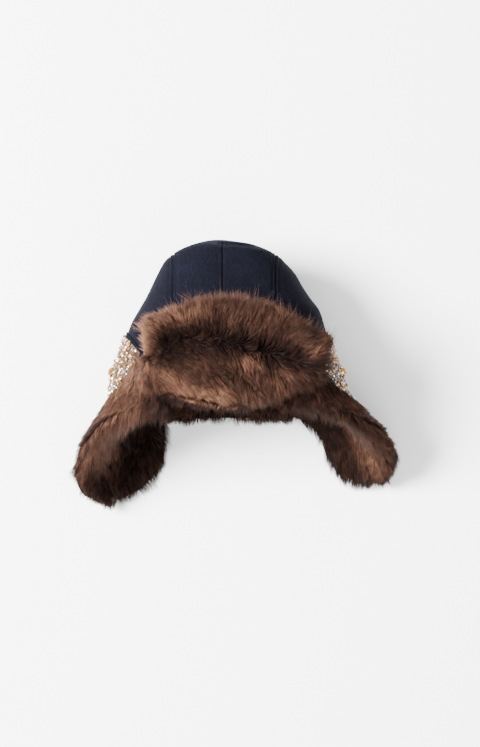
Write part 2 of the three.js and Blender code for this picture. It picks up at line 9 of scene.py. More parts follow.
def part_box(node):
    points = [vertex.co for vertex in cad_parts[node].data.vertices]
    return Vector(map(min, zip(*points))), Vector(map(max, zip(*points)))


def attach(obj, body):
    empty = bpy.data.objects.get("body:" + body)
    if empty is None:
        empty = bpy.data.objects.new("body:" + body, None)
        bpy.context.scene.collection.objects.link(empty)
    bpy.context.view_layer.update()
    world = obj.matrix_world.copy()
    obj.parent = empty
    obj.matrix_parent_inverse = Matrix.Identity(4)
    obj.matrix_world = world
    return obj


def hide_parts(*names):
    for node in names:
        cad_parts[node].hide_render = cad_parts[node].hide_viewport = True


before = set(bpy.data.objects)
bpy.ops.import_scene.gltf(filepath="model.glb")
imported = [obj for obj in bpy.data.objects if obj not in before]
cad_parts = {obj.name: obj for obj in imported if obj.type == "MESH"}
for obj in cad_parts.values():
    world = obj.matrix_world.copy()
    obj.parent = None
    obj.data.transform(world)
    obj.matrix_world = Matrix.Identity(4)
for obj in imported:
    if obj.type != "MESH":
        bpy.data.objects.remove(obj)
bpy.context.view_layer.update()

# The hat's own sizes in millimetres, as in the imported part
CROWN_HEIGHT = 160.0
CROWN_WIDTH = 200.0
CROWN_DEPTH = 168.0
CROWN_CLOTH = 2.5
STITCH_OFFSET = 3.4
LINING_PILE = 8.0
NAPE_DROP = 12.0
ARCH_RISE = 60.0
ARCH_SPAN = math.radians(58)
SEAMS = (-53.0, -4.0, 48.0)
TOP_CREASE = 4.0
FRONT_POWER = 2.5
BACK_POWER = 2.9
WIDEST_LEVEL = 0.47

VISOR_HEIGHT = 98.0
VISOR_LEFT_SPAN = 38.0
VISOR_RIGHT_SPAN = 50.0
VISOR_CLOTH = 2.5
VISOR_STAND_OFF = 5.0
VISOR_END_LIFT = 9.0
VISOR_FOLD = 4.0
VISOR_PILE = 21.0

FLAP_LENGTH = 104.0
FLAP_HALF_WIDTH = 60.0
FLAP_REAR_SHARE = 1.16
FLAP_CLOTH = 2.2
FLAP_OVERLAP = 8.0
FLAP_FLARE = 0.32
TIP_SQUARENESS = 3.4
FLAP_REAR_DROP = 30.0
FLAP_FRONT_DROP = 18.0
FLAP_PILE = 15.0
FLAP_RIM = 8.0
NAPE_PILE = 9.0
NAPE_LIP = 7.0
NAPE_RISE = 26.0
NAPE_SPAN = 33.0
GAP = 0.3
FLOOR_GAP = 0.05
HAIR_FLOOR_GAP = 0.25

# The crown's sections from the top down, as shares of its sizes. drop: below the top. half: the width.
# shift: sideways. front, back: how high each side lies
CROWN = np.array([
    (0, 0, -0.045, 0.55, 0.55),
    (0.012, 0.16, -0.037, 0.65, 0.47),
    (0.028, 0.265, -0.022, 0.72, 0.41),
    (0.065, 0.425, -0.018, 0.785, 0.33),
    (0.103, 0.535, -0.013, 0.81, 0.27),
    (0.14, 0.595, -0.013, 0.83, 0.22),
    (0.215, 0.685, -0.003, 0.86, 0.145),
    (0.29, 0.75, 0, 0.89, 0.085),
    (0.365, 0.82, 0.005, 0.915, 0.035),
    (0.44, 0.9, 0.01, 0.94, 0),
    (0.515, 0.955, 0.003, 0.955, -0.02),
    (0.59, 0.99, 0, 0.97, -0.03),
    (0.75, 1, 0, 0.985, -0.03),
    (1, 1, 0, 1, -0.03),
    (1.2, 0.985, 0, 1, -0.03),
])
CROWN[:, 0] = np.sqrt(CROWN[:, 0])

# The visor's lower and upper edges, as shares of its height, from its left end to its right
VISOR = np.array([
    (-1, 0.24, 0.6),
    (-0.85, 0.13, 0.74),
    (-0.58, 0.07, 0.85),
    (-0.3, 0.02, 0.92),
    (0, -0.03, 0.96),
    (0.2, -0.01, 0.93),
    (0.5, 0.11, 0.79),
    (0.75, 0.2, 0.62),
    (1, 0.32, 0.44),
])
# How full the visor's pile is, from its lower edge to its upper one
RIDGES = np.array([
    (0, 0.42), (0.12, 0.86), (0.3, 0.98), (0.52, 0.72), (0.66, 0.6), (0.84, 0.95), (0.95, 0.8), (1, 0.42),
])
# Each flap's sections: along it, out from the middle, down, level above the floor, half width, turn towards
# the front and lean, both in degrees, and how much its sides curl in
LEFT_FLAP = np.array([
    (0.4, 1.09, -0.12, 0.44, 1.04, 6, 8, 0.26),
    (0.55, 1.12, 0.08, 0.36, 0.98, 18, 14, 0.24),
    (0.7, 1.2, 0.33, 0.27, 0.86, 28, 12, 0.26),
    (0.85, 1.27, 0.61, 0.17, 0.76, 40, 4, 0.3),
    (1, 1.26, 0.95, 0.11, 0.74, 46, 0, 0.28),
])
RIGHT_FLAP = np.array([
    (0.4, 1.14, -0.14, 0.44, 1.0, 3, 14, 0.24),
    (0.55, 1.24, 0.04, 0.37, 0.84, 10, 26, 0.2),
    (0.7, 1.36, 0.26, 0.28, 0.72, 20, 34, 0.2),
    (0.85, 1.48, 0.5, 0.18, 0.66, 32, 38, 0.26),
    (1, 1.6, 0.72, 0.12, 0.64, 40, 38, 0.26),
])
# along, share of the half width where the pile turned over the front edge ends
FRONT_BAND = np.array([
    (0, 0.64), (0.1, 0.6), (0.3, 0.5), (0.5, 0.3), (0.65, 0.36), (0.8, 0.55), (0.9, 0.8),
])
FLAPS = {"left": (-1, LEFT_FLAP), "right": (1, RIGHT_FLAP)}
# How far the front's hair hangs straight down, inside and at the rim, and how the turned hair is ruffled
CREST = {"left": 0.9, "right": 0.3}
HANG = {"left": 1.0, "right": 0.5}
RUFFLE = {"left": 0.35, "right": 0.9}

# The hat is built with Y = 0 at the brow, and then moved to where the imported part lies.
strip_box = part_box("crown_strip_left")[1] * 1000
SHIFT = np.array([strip_box.x - (SEAMS[1] - GAP / 2), strip_box.y - CROWN_HEIGHT, 0.0])


def smooth(x, low, high):
    t = np.clip((np.asarray(x, float) - low) / (high - low), 0, 1)
    return t * t * (3 - 2 * t)


def mix(a, b, t):
    return a + (b - a) * t


def unit(v):
    return v / np.maximum(np.linalg.norm(v, axis=-1, keepdims=True), 1e-9)


def read(table, column, x):
    """A smooth curve through a column of a table, against its first column."""
    x = np.asarray(x, float)
    last = len(table) - 1
    i = np.clip(np.searchsorted(table[1:last, 0], x, side="left"), 0, last - 1)
    a, b = table[i], table[i + 1]
    before, after = table[np.maximum(i - 1, 0)], table[np.minimum(i + 2, last)]
    step = b[..., 0] - a[..., 0]
    t = np.clip((x - a[..., 0]) / step, 0, 1)
    slope_a = (b[..., column] - before[..., column]) / (b[..., 0] - before[..., 0]) * step
    slope_b = (after[..., column] - a[..., column]) / (after[..., 0] - a[..., 0]) * step
    t2, t3 = t * t, t * t * t
    return (
        (2 * t3 - 3 * t2 + 1) * a[..., column] + (t3 - 2 * t2 + t) * slope_a
        + (3 * t2 - 2 * t3) * b[..., column] + (t3 - t2) * slope_b
    )


def crown_row(y, out=0.0):
    """half width, shift, front, back and middle level of the crown's section at height y"""
    height = CROWN_HEIGHT + out
    root = np.sqrt(np.clip((height - y) / height, 0, 1.2))
    half = CROWN_WIDTH / 2 * read(CROWN, 1, root)
    shift = CROWN_WIDTH * read(CROWN, 2, root)
    front = CROWN_DEPTH * read(CROWN, 3, root)
    back = CROWN_DEPTH * read(CROWN, 4, root)
    return root, half, shift, front, back, back + WIDEST_LEVEL * (front - back)


def crown_point(y, phi, out):
    y, phi, out = np.broadcast_arrays(np.asarray(y, float), np.asarray(phi, float), np.asarray(out, float))
    root, half, shift, front, back, middle = crown_row(y, out)
    sine, cosine = np.sin(phi), np.cos(phi)
    power = 2 / np.where(sine > 0, FRONT_POWER, BACK_POWER)
    across = np.sign(cosine) * np.abs(cosine) ** power
    up = np.sign(sine) * np.abs(sine) ** power
    fold = np.exp(-(((root**2 - 0.036 - 0.026 * across) / 0.014) ** 2)) * smooth(root, 0, 0.17)
    crease = TOP_CREASE * fold * np.maximum(up, 0) ** 2
    level = np.maximum(middle + np.where(sine > 0, front - middle, middle - back) * up - crease, 0)
    wide = (CROWN_WIDTH / 2 + out) / (CROWN_WIDTH / 2)
    deep = (CROWN_DEPTH / 2 + out) / (CROWN_DEPTH / 2)
    level = CROWN_DEPTH / 2 + (level - CROWN_DEPTH / 2) * deep
    return np.stack([(shift + half * across) * wide, y, level], -1)


def crown_base(phi):
    return -NAPE_DROP * smooth(-np.sin(phi), 0, 0.8)


def crown_edge(phi):
    share = np.clip(np.abs(np.arcsin(np.clip(np.sin(phi), -1, 1))) / ARCH_SPAN, 0, 1)
    base = crown_base(phi)
    return base + (ARCH_RISE - base) * (1 - share**2) ** 0.65


def visor_point(across, up, out):
    across, up = np.asarray(across, float), np.asarray(up, float)
    low = VISOR_HEIGHT * read(VISOR, 1, across)
    high = VISOR_HEIGHT * read(VISOR, 2, across)
    span = np.where(across < 0, VISOR_LEFT_SPAN, VISOR_RIGHT_SPAN)
    phi = np.radians(90 - across * span)
    lift = GAP + VISOR_STAND_OFF * np.clip(up, 0, 1) + VISOR_END_LIFT * smooth(np.abs(across), 0.45, 1)
    return crown_point(mix(low, high, up), phi, lift + out)


def visor_pile(up, across):
    return VISOR_CLOTH + VISOR_PILE * read(RIDGES, 1, up) * np.sqrt(1 - 0.75 * np.abs(across) ** 4)


def flap_surface(side, rows, along, across, grow, lap, tip):
    centre = 0.0 if side > 0 else math.pi
    phi = centre + side * across * (ARCH_SPAN + grow / (CROWN_WIDTH / 2))
    arch = crown_edge(phi)
    y = mix(arch + lap, crown_base(phi), along / 0.45)
    hug = crown_point(y, phi, GAP)
    hug[..., 0] += side * FLAP_FLARE * np.maximum(arch - y, 0)
    out, down, level, half, turn, lean, curl = (read(rows, k, along) for k in range(1, 8))
    half = FLAP_HALF_WIDTH * half
    taper = np.sqrt(np.maximum(1 - np.maximum((along - 0.7) / 0.3, 0) ** TIP_SQUARENESS, 0))
    reach = (half + grow) * taper * across * np.where(across < 0, FLAP_REAR_SHARE, 1)
    turn, lean = np.radians(turn), np.radians(lean)
    zero = np.zeros_like(turn)
    face = np.stack([-side * np.cos(turn), zero, np.sin(turn)], -1)
    wide = np.stack([side * np.sin(turn) * np.cos(lean), np.sin(turn) * np.sin(lean), np.cos(turn)], -1)
    downward = np.stack([side * np.sin(lean), -np.cos(lean), zero], -1)
    trough = np.stack([side * CROWN_WIDTH / 2 * out, -FLAP_LENGTH * down, CROWN_DEPTH * level], -1)
    trough = trough + wide * reach[..., None] + face * (half * curl * (reach / half) ** 2)[..., None]
    trough = trough + downward * (tip * smooth(along, 0.7, 1))[..., None]
    drop = np.where(across < 0, FLAP_REAR_DROP, FLAP_FRONT_DROP)
    trough[..., 1] -= drop * np.abs(across) ** 1.5 * (1 - smooth(along, 0.45, 0.95))
    return mix(hug, trough, smooth(along, 0.2, 0.62)[..., None])


def flap_point(flap, along, across, inwards, grow=0.0, lap=FLAP_OVERLAP, tip=None, way=False):
    """A point of a flap's outer face, moved inwards. With way, also the axes there: inward, down and wide."""
    side, rows = FLAPS[flap]
    tip = grow if tip is None else tip
    along, across, inwards = np.broadcast_arrays(*(np.asarray(v, float) for v in (along, across, inwards)))

    def skin(a, c):
        return flap_surface(side, rows, a, c, grow, lap, tip)

    a, c, step = np.clip(along, 0.02, 0.965), np.clip(across, -0.97, 0.97), 0.01
    down = skin(a + step, c) - skin(a - step, c)
    wide = skin(a, c + step) - skin(a, c - step)
    inward = unit(np.cross(down, wide)) * side
    at = skin(along, across) + inward * inwards[..., None]
    return (at, inward, unit(down), unit(wide)) if way else at


def flap_pile(along, across):
    return FLAP_PILE * np.sqrt(np.maximum(1 - 0.55 * np.abs(across) ** 6, 0))


# Materials
class Look:
    """The nodes of a material or of the world"""

    def __init__(self, owner):
        owner.use_nodes = True
        self.nodes = owner.node_tree.nodes
        self.links = owner.node_tree.links

    def put(self, socket, value):
        if isinstance(value, bpy.types.NodeSocket):
            self.links.new(value, socket)
        else:
            socket.default_value = value

    def node(self, kind, **values):
        made = self.nodes.new(kind)
        for key, value in values.items():
            self.put(made.inputs[key], value)
        return made

    def place(self):
        return self.node("ShaderNodeTexCoord").outputs["Object"]

    def attribute(self, name, output):
        made = self.node("ShaderNodeAttribute")
        made.attribute_name = name
        return made.outputs[output]

    def scaled(self, vector, scale):
        return self.node("ShaderNodeMapping", Vector=vector, Scale=scale).outputs["Vector"]

    def noise(self, vector, scale, detail=3.0, roughness=0.6):
        made = self.node("ShaderNodeTexNoise", Vector=vector, Scale=scale, Detail=detail, Roughness=roughness)
        return made.outputs["Fac"]

    def ribs(self, vector, direction, **values):
        made = self.node("ShaderNodeTexWave", Vector=vector, **values)
        made.bands_direction = direction
        return made.outputs["Fac"]

    def ramp(self, value, *stops):
        made = self.node("ShaderNodeValToRGB", Fac=value)
        elements = made.color_ramp.elements
        while len(elements) < len(stops):
            elements.new(0.5)
        for element, (at, colour) in zip(elements, stops):
            element.position = at
            element.color = (*colour, 1)
        return made.outputs["Color"]

    def multiply(self, a, b):
        made = self.node("ShaderNodeMix")
        made.data_type = "RGBA"
        made.blend_type = "MULTIPLY"
        for key, value in (("Factor", 1.0), ("A", a), ("B", b)):
            self.put(made.inputs[key], value)
        return made.outputs["Result"]

    def maths(self, operation, *values):
        made = self.node("ShaderNodeMath")
        made.operation = operation
        for socket, value in zip(made.inputs, values):
            self.put(socket, value)
        return made.outputs["Value"]

    def bump(self, shader, height, strength, distance):
        made = self.node("ShaderNodeBump", Height=height, Strength=strength, Distance=distance)
        self.put(shader.inputs["Normal"], made.outputs["Normal"])


def material(name, colour, roughness, **sockets):
    made = bpy.data.materials.new(name)
    look = Look(made)
    shader = look.nodes["Principled BSDF"]
    shader.inputs["Base Color"].default_value = (*colour, 1)
    shader.inputs["Roughness"].default_value = roughness
    for key, value in sockets.items():
        shader.inputs[key.replace("_", " ")].default_value = value
    return made, look, shader


def cloth_material(name):
    """Navy twill with fine upright lines and a blue-violet bloom"""
    made, look, shader = material(
        name, (0.008, 0.0085, 0.018), 0.9,
        Sheen_Weight=0.03, Sheen_Roughness=0.25, Sheen_Tint=(0.22, 0.2, 0.6, 1), Specular_IOR_Level=0.02,
    )
    at = look.place()
    upright = look.ribs(at, "X", Scale=260, Distortion=0.6, Detail=1)
    slanting = look.ribs(at, "DIAGONAL", Scale=420)
    slubs = look.noise(look.scaled(at, (900, 60, 900)), 1.0, 2.0)
    wear = look.noise(at, 28, 4.0)
    tone = look.ramp(wear, (0.3, (0.0023, 0.0024, 0.0040)), (0.7, (0.0033, 0.0034, 0.0060)))
    threads = look.ramp(slubs, (0.35, (0.7, 0.7, 0.72)), (0.7, (1.45, 1.45, 1.55)))
    look.put(shader.inputs["Base Color"], look.multiply(tone, threads))
    weave = look.maths("MULTIPLY_ADD", slanting, 0.45, upright)
    look.bump(shader, look.maths("ADD", weave, slubs), 0.35, 0.00022)
    return made


def speckled_material(name, scale, detail, low, high, bump, **sockets):
    """Two tones in fine specks. low, high: where each tone starts, and its colour. bump: strength, depth"""
    made, look, shader = material(name, high[1], **sockets)
    specks = look.noise(look.place(), scale, detail)
    look.put(shader.inputs["Base Color"], look.ramp(specks, low, high))
    look.bump(shader, specks, *bump)
    return made


def hair_material():
    """Single hairs, with their colour from root to tip in an attribute, which also carries painted light and
    shade
    """
    made, look, shader = material("pile_hair", (0.1, 0.06, 0.04), 0.5, Specular_IOR_Level=0.07)
    shade = look.attribute("shade", "Color")
    fleck = look.ramp(look.noise(look.place(), 240), (0.3, (0.72, 0.7, 0.68)), (0.7, (1.22, 1.2, 1.18)))
    look.put(shader.inputs["Base Color"], look.multiply(shade, fleck))
    return made


def undercoat_material():
    """The dense pile between the modelled hairs: fine streaks along the lie of the pile, over colours from an
    attribute that also carries painted light and shade
    """
    made, look, shader = material("pile_undercoat", (0.05, 0.03, 0.02), 0.8, Specular_IOR_Level=0.03)
    grain = look.scaled(look.attribute("grain", "Vector"), (1.5, 0.09, 1.0))
    streak = look.noise(grain, 1.0, 5.0, 0.7)
    tone = look.ramp(
        streak, (0.34, (0.20, 0.18, 0.17)), (0.52, (0.6, 0.58, 0.56)), (0.7, (1.3, 1.25, 1.2))
    )
    look.put(shader.inputs["Base Color"], look.multiply(look.attribute("shade", "Color"), tone))
    look.bump(shader, streak, 0.9, 0.0016)
    return made


def crystal_material(name, low, high, roughness, transmission, metallic):
    made, look, shader = material(
        name, low, roughness, Metallic=metallic, Transmission_Weight=transmission, IOR=1.6,
        Coat_Weight=0.15, Coat_Roughness=0.03, Specular_IOR_Level=0.7,
    )
    cloud = look.noise(look.place(), 420, 2.0)
    look.put(shader.inputs["Base Color"], look.ramp(cloud, (0.35, low), (0.65, high)))
    return made


CLOTH = cloth_material("navy_cloth_twill")
THREAD = speckled_material(
    "navy_thread", 1500, 1.0, (0.3, (0.0008, 0.0008, 0.0014)), (0.7, (0.0022, 0.0023, 0.0042)), (0.3, 0.0001),
    roughness=0.7, Specular_IOR_Level=0.1,
)
GROUND = speckled_material(
    "stitched_ground", 700, 2.0, (0.35, (0.005, 0.004, 0.004)), (0.65, (0.04, 0.026, 0.018)), (0.6, 0.0006),
    roughness=0.8,
)
HAIR = hair_material()
UNDERCOAT = undercoat_material()
# The stones' tones, dark and light, roughness, transmission and metal
STONES = [crystal_material(name, *values) for name, *values in (
    ("crystal_clear", (0.05, 0.036, 0.028), (0.68, 0.57, 0.47), 0.03, 0.0, 0.92),
    ("crystal_champagne", (0.16, 0.062, 0.018), (0.70, 0.36, 0.12), 0.04, 0.0, 0.92),
    ("crystal_amber", (0.14, 0.045, 0.005), (0.52, 0.22, 0.022), 0.04, 0.15, 0.4),
    ("crystal_smoke", (0.010, 0.008, 0.008), (0.09, 0.065, 0.055), 0.06, 0.0, 0.5),
    ("bead_silver", (0.08, 0.066, 0.056), (0.46, 0.40, 0.34), 0.15, 0.0, 1.0),
    ("bead_gold", (0.20, 0.10, 0.03), (0.60, 0.34, 0.12), 0.16, 0.0, 1.0),
)]
CLEAR, CHAMPAGNE, AMBER, SMOKE, SILVER, GOLD = range(len(STONES))


# Meshes
# What each point carries, and its usual value
FIELDS = {"shade": (0.5, 0.5, 0.5), "grain": (0.0, 0.0, 0.0), "uv": (0.0, 0.0)}


def make_piece(name, parts, materials, nodes=(), flat=False):
    """parts: dicts with co and faces, and optionally material and any of FIELDS"""
    points = [part["co"].reshape(-1, 3) for part in parts]
    starts = np.cumsum([0] + [len(block) for block in points])
    faces = [block + start for part, start in zip(parts, starts) for block in part["faces"]]
    index = [np.full(len(block), part.get("material", 0)) for part in parts for block in part["faces"]]
    fields = {key: np.concatenate([np.broadcast_to(part.get(key, usual), (len(block), len(usual)))
                                   for part, block in zip(parts, points)])
              for key, usual in FIELDS.items()}
    co = np.concatenate(points)
    co[:, 2] = np.maximum(co[:, 2], FLOOR_GAP)
    co = (co + SHIFT) / 1000
    corners = np.concatenate([block.ravel() for block in faces])
    sizes = np.concatenate([np.full(len(block), block.shape[1]) for block in faces])
    mesh = bpy.data.meshes.new(name)
    mesh.vertices.add(len(co))
    mesh.vertices.foreach_set("co", co.astype(np.float32).ravel())
    mesh.loops.add(len(corners))
    mesh.loops.foreach_set("vertex_index", corners.astype(np.int32))
    mesh.polygons.add(len(sizes))
    mesh.polygons.foreach_set("loop_start", np.concatenate([[0], np.cumsum(sizes)[:-1]]).astype(np.int32))
    mesh.polygons.foreach_set("loop_total", sizes.astype(np.int32))
    mesh.polygons.foreach_set("material_index", np.concatenate(index).astype(np.int32))
    mesh.polygons.foreach_set("use_smooth", np.full(len(sizes), not flat))
    colours = np.concatenate([fields["shade"], np.ones((len(co), 1))], 1)
    shade = mesh.attributes.new("shade", "FLOAT_COLOR", "POINT")
    shade.data.foreach_set("color", colours.astype(np.float32).ravel())
    grain = mesh.attributes.new("grain", "FLOAT_VECTOR", "POINT")
    grain.data.foreach_set("vector", fields["grain"].astype(np.float32).ravel())
    if any("uv" in part for part in parts):
        layer = mesh.uv_layers.new(name="OFBake")
        layer.data.foreach_set("uv", fields["uv"][corners].astype(np.float32).ravel())
    for made in materials:
        mesh.materials.append(made)
    mesh.update(calc_edges=True)
    mesh.validate()
    piece = bpy.data.objects.new(name, mesh)
    bpy.context.scene.collection.objects.link(piece)
    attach(piece, "root")
    if nodes:
        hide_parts(*nodes)
    return piece


def grid_faces(rows, columns, flip=False):
    at = np.arange(rows * columns).reshape(rows, columns)
    quads = np.stack([at[:-1, :-1], at[:-1, 1:], at[1:, 1:], at[1:, :-1]], -1).reshape(-1, 4)
    return quads[:, ::-1] if flip else quads


def slab(outer, inner, ring=False):
    """A closed sheet between two point grids. With ring, the last column meets the first."""
    rows, columns = outer.shape[:2]
    n = rows * columns
    at = np.arange(n).reshape(rows, columns)
    edges = [(at[0], True), (at[-1], False)]
    if not ring:
        edges += [(at[:, 0], False), (at[:, -1], True)]
    walls = []
    for line, flip in edges:
        quads = np.stack([line[:-1], line[1:], line[1:] + n, line[:-1] + n], -1)
        walls.append(quads if flip else quads[:, ::-1])
    faces = [grid_faces(rows, columns), grid_faces(rows, columns, True) + n, *walls]
    return {"co": np.concatenate([outer.reshape(-1, 3), inner.reshape(-1, 3)]), "faces": faces}


def weld(piece, distance=0.00002):
    """Joins points that coincide and turns all faces outwards."""
    work = bmesh.new()
    work.from_mesh(piece.data)
    bmesh.ops.remove_doubles(work, verts=work.verts, dist=distance)
    bmesh.ops.dissolve_degenerate(work, edges=work.edges, dist=distance / 4)
    bmesh.ops.recalc_face_normals(work, faces=work.faces)
    work.to_mesh(piece.data)
    work.free()


def repeated(count, points, *blocks):
    """The faces of many like shapes, from the faces of one, where each shape has this many points"""
    first = points * np.arange(count)[:, None, None]
    return [(first + np.array(block)).reshape(-1, len(block[0])) for block in blocks]


def nearest(points, centres):
    """Which of the centres is nearest to each point"""
    tree = kdtree.KDTree(len(centres))
    for k, centre in enumerate(centres):
        tree.insert(centre, k)
    tree.balance()
    return np.array([tree.find(point)[1] for point in points])


def hairs(rng, root, normal, flow, length, width, lift, light, clump, lock=(200, 0.3)):
    """Tapered closed hairs that draw together into tufts and locks.

    lift: how far they stand off, as a share of their length. light: 0 for painted shade in the hollows to 1
    for painted highlights on the ridges.
    clump, lock: how many hairs are in a tuft and in a lock, and how strongly each draws together."""
    n = len(root)
    dark, light = pile_shade(rng, light, n)
    length = np.broadcast_to(np.asarray(length, float), (n,))[:, None]
    lift = np.broadcast_to(np.asarray(lift, float), (n,))[:, None]
    way = unit(flow + rng.normal(0, 0.16, (n, 3)))
    stand = unit(normal + rng.normal(0, 0.1, (n, 3)))
    length = length * rng.uniform(0.68, 1.12, (n, 1))
    lying = np.sqrt(np.maximum(1 - lift**2, 0.05))
    middle = root + length * (stand * lift * 0.62 + way * 0.5 * (1 - HAIR_BEND * 0.5))
    tip = root + length * (stand * lift * mix(1.0, 0.72, HAIR_BEND) + way * lying)
    for share, pull in (lock, clump):
        count = max(n // share, 2)
        chosen = rng.choice(n, count, replace=False)
        group = nearest(root, root[chosen])
        near = chosen[group]
        bend_way = rng.normal(0, 0.12, (count, 3))[group] * length
        away = (root - root[near]) * 0.3
        tip = mix(tip, tip[near] + away + bend_way, pull)
        middle = mix(middle, middle[near] + away * 1.8, pull * 0.45)
        tone = rng.normal(1, 0.16, (count, 1))[group]
        light = light * np.clip(tone, 0.55, 1.5)
    base_way, end_way = unit(middle - root), unit(tip - middle)
    width = np.broadcast_to(np.asarray(width, float), (n,))[:, None] * rng.uniform(0.65, 1.2, (n, 1))
    co = np.zeros((n, 7, 3))
    rings = (root, base_way, 1.0), (middle, unit(base_way + end_way), 0.78)
    for ring, (at, way_here, share) in enumerate(rings):
        side = unit(np.cross(way_here, stand))
        other = np.cross(way_here, side)
        for k in range(3):
            turn = 2 * math.pi * k / 3 + 0.5
            co[:, 3 * ring + k] = at + (side * math.cos(turn) + other * math.sin(turn)) * width * share / 2
    co[:, 6] = tip
    colours = np.zeros((n, 7, 3))
    colours[:, 0:3] = dark[:, None]
    colours[:, 3:6] = mix(dark, light, 0.5)[:, None]
    colours[:, 6] = light * 1.15
    across = int(math.ceil(math.sqrt(n * 2)))
    down = int(math.ceil(n / across))
    u = np.arange(n)[:, None] % across + np.array([0.2, 0.5, 0.8, 0.2, 0.5, 0.8, 0.5])
    v = np.arange(n)[:, None] // across + np.array([0.1, 0.1, 0.1, 0.5, 0.5, 0.5, 0.9])
    sides, ends = [(0, 1, 4, 3), (1, 2, 5, 4), (2, 0, 3, 5)], [(3, 4, 6), (4, 5, 6), (5, 3, 6), (2, 1, 0)]
    faces = repeated(n, 7, sides, ends)
    return {"co": co, "faces": faces, "shade": np.clip(colours, 0, 1).reshape(-1, 3),
            "uv": np.stack([u / across, v / down * HAIR_UV_SHARE], -1).reshape(-1, 2), "material": 1}


def dress(skin, tone, place):
    """Gives a slab of pile its tones, the lie of its pile and its place for baking."""
    rows, columns = place.shape[:2]
    u, v = np.meshgrid(np.linspace(0.01, 0.99, columns), np.linspace(HAIR_UV_SHARE + 0.02, 0.99, rows))
    skin.update(shade=tone, grain=np.tile(place.reshape(-1, 3), (2, 1)),
                uv=np.tile(np.stack([u, v], -1).reshape(-1, 2), (2, 1)), material=0)


# The pile's colours, the darker two also used as painted shade in hollows and inside the hat, and how its
# hairs bend and share the sheet for baking with the skin below them
HAIR_BEND = 0.5
HAIR_UV_SHARE = 0.5
ROOT_AND_SHADE_BROWN = np.array([0.0036, 0.0019, 0.0017])
DEEP_SHADE_BROWN = np.array([0.014, 0.0058, 0.0045])
MID_BROWN = np.array([0.089, 0.042, 0.028])
LIGHT_BROWN = np.array([0.31, 0.158, 0.097])


def pile_shade(rng, light, n):
    """Root and tip colours for hairs. light: 0 for painted shade in the hollows to 1 for painted highlights
    on the ridges. Roots are near black, partly the fur's own darker base and partly painted shade deep in the
    pile.
    """
    light = np.clip(np.broadcast_to(light, (n,)) + rng.normal(0, 0.09, n), 0, 1)[:, None]
    low, high = mix(DEEP_SHADE_BROWN, MID_BROWN, light * 2), mix(MID_BROWN, LIGHT_BROWN, light * 2 - 1)
    tip = np.where(light < 0.5, low, high)
    tip = tip * rng.uniform(0.75, 1.25, (n, 1)) * (1 + rng.normal(0, 0.05, (n, 3)))
    root = mix(ROOT_AND_SHADE_BROWN, tip, 0.06 + 0.1 * light)
    return np.clip(root, 0, 1), np.clip(tip, 0, 1)


# The crown: four panels that roll down into their seams, with twin lines of stitches
def crown_skin(y, phi, inner=False):
    at = crown_point(y, phi, 0.0)
    apart = np.min([np.abs(at[..., 0] - seam) for seam in SEAMS], axis=0)
    pad = 0.7 - 1.5 * np.exp(-((apart / 0.9) ** 2)) - 1.0 * np.exp(-(((apart - STITCH_OFFSET) / 0.7) ** 2))
    top = smooth(CROWN_HEIGHT - y, 0, 6)
    return crown_point(y, phi, -CROWN_CLOTH if inner else pad * top)


def seam_angle(seam, y, front):
    """Where a seam crosses the crown's section at height y"""
    _, half, shift, *_ = crown_row(y)
    share = np.clip((seam - shift) / np.maximum(half, 1e-6), -1, 1)
    power = (FRONT_POWER if front else BACK_POWER) / 2
    angle = np.arccos(np.sign(share) * np.abs(share) ** power)
    return angle if front else 2 * math.pi - angle


def panel_angles(low, high, y, front, share):
    """share 0 to 1 runs from the panel's right side to its left"""
    start = 0.0 if front else 2 * math.pi
    right = np.full_like(y, start) if high is None else seam_angle(high, y, front)
    left = np.full_like(y, math.pi) if low is None else seam_angle(low, y, front)
    return mix(right, left, share)


def crown_panel(name, low, high, rows=76, columns=26):
    low_at = None if low is None else low + GAP / 2
    high_at = None if high is None else high - GAP / 2
    heights = np.linspace(-15, CROWN_HEIGHT - 0.2, 400)
    _, half, shift, *_ = crown_row(heights)
    if low is None:
        top = heights[shift - half < high_at].max()
    elif high is None:
        top = heights[shift + half > low_at].max()
    else:
        top = CROWN_HEIGHT
    share_v = np.linspace(0, 1, rows) ** 1.6
    share_h = 0.5 - 0.5 * np.cos(math.pi * np.linspace(0, 1, columns))
    r, c = np.meshgrid(share_v, share_h, indexing="ij")
    parts = []
    for front in (True, False):
        y = np.full_like(r, 40.0)
        for _ in range(12):
            phi = panel_angles(low_at, high_at, y, front, c)
            y = top - (top - crown_edge(phi)) * r
        phi = panel_angles(low_at, high_at, y, front, c)
        parts.append(slab(crown_skin(y, phi), crown_skin(y, phi, True)))
    weld(make_piece(f"{name}_cloth", parts, [CLOTH], [name]))


def stitch_row(path):
    """Short raised threads along a line of points"""
    step, length, thick = 3.4, 2.6, 0.42
    along = np.concatenate([[0], np.cumsum(np.linalg.norm(np.diff(path, axis=0), axis=1))])
    starts = np.arange(1.0, along[-1] - length, step)
    ends = [np.stack([np.interp(starts + share * length, along, path[:, k]) for k in range(3)], -1)
            for share in (0, 0.5, 1)]
    way = unit(ends[2] - ends[0])
    normal = unit(np.cross(way, np.array([1.0, 0, 0])))
    middle = np.array([0.0, 60.0, CROWN_DEPTH / 2])
    normal = normal * np.sign(np.sum(normal * (ends[1] - middle), -1, keepdims=True))
    side = np.cross(way, normal)
    co = []
    for at, share, raised in zip(ends, (0.35, 1.0, 0.35), (-0.1, 0.05, -0.1)):
        for k in range(6):
            spoke = side * math.cos(math.pi * k / 3) + normal * math.sin(math.pi * k / 3)
            co.append(at + normal * raised + spoke * thick / 2 * share)
    quads = [(6 * ring + k, 6 * ring + (k + 1) % 6, 6 * ring + 6 + (k + 1) % 6, 6 * ring + 6 + k)
             for ring in range(2) for k in range(6)]
    caps = [(5, 4, 3, 2, 1, 0), (12, 13, 14, 15, 16, 17)]
    return {"co": np.stack(co, 1), "faces": repeated(len(starts), 18, quads, caps)}


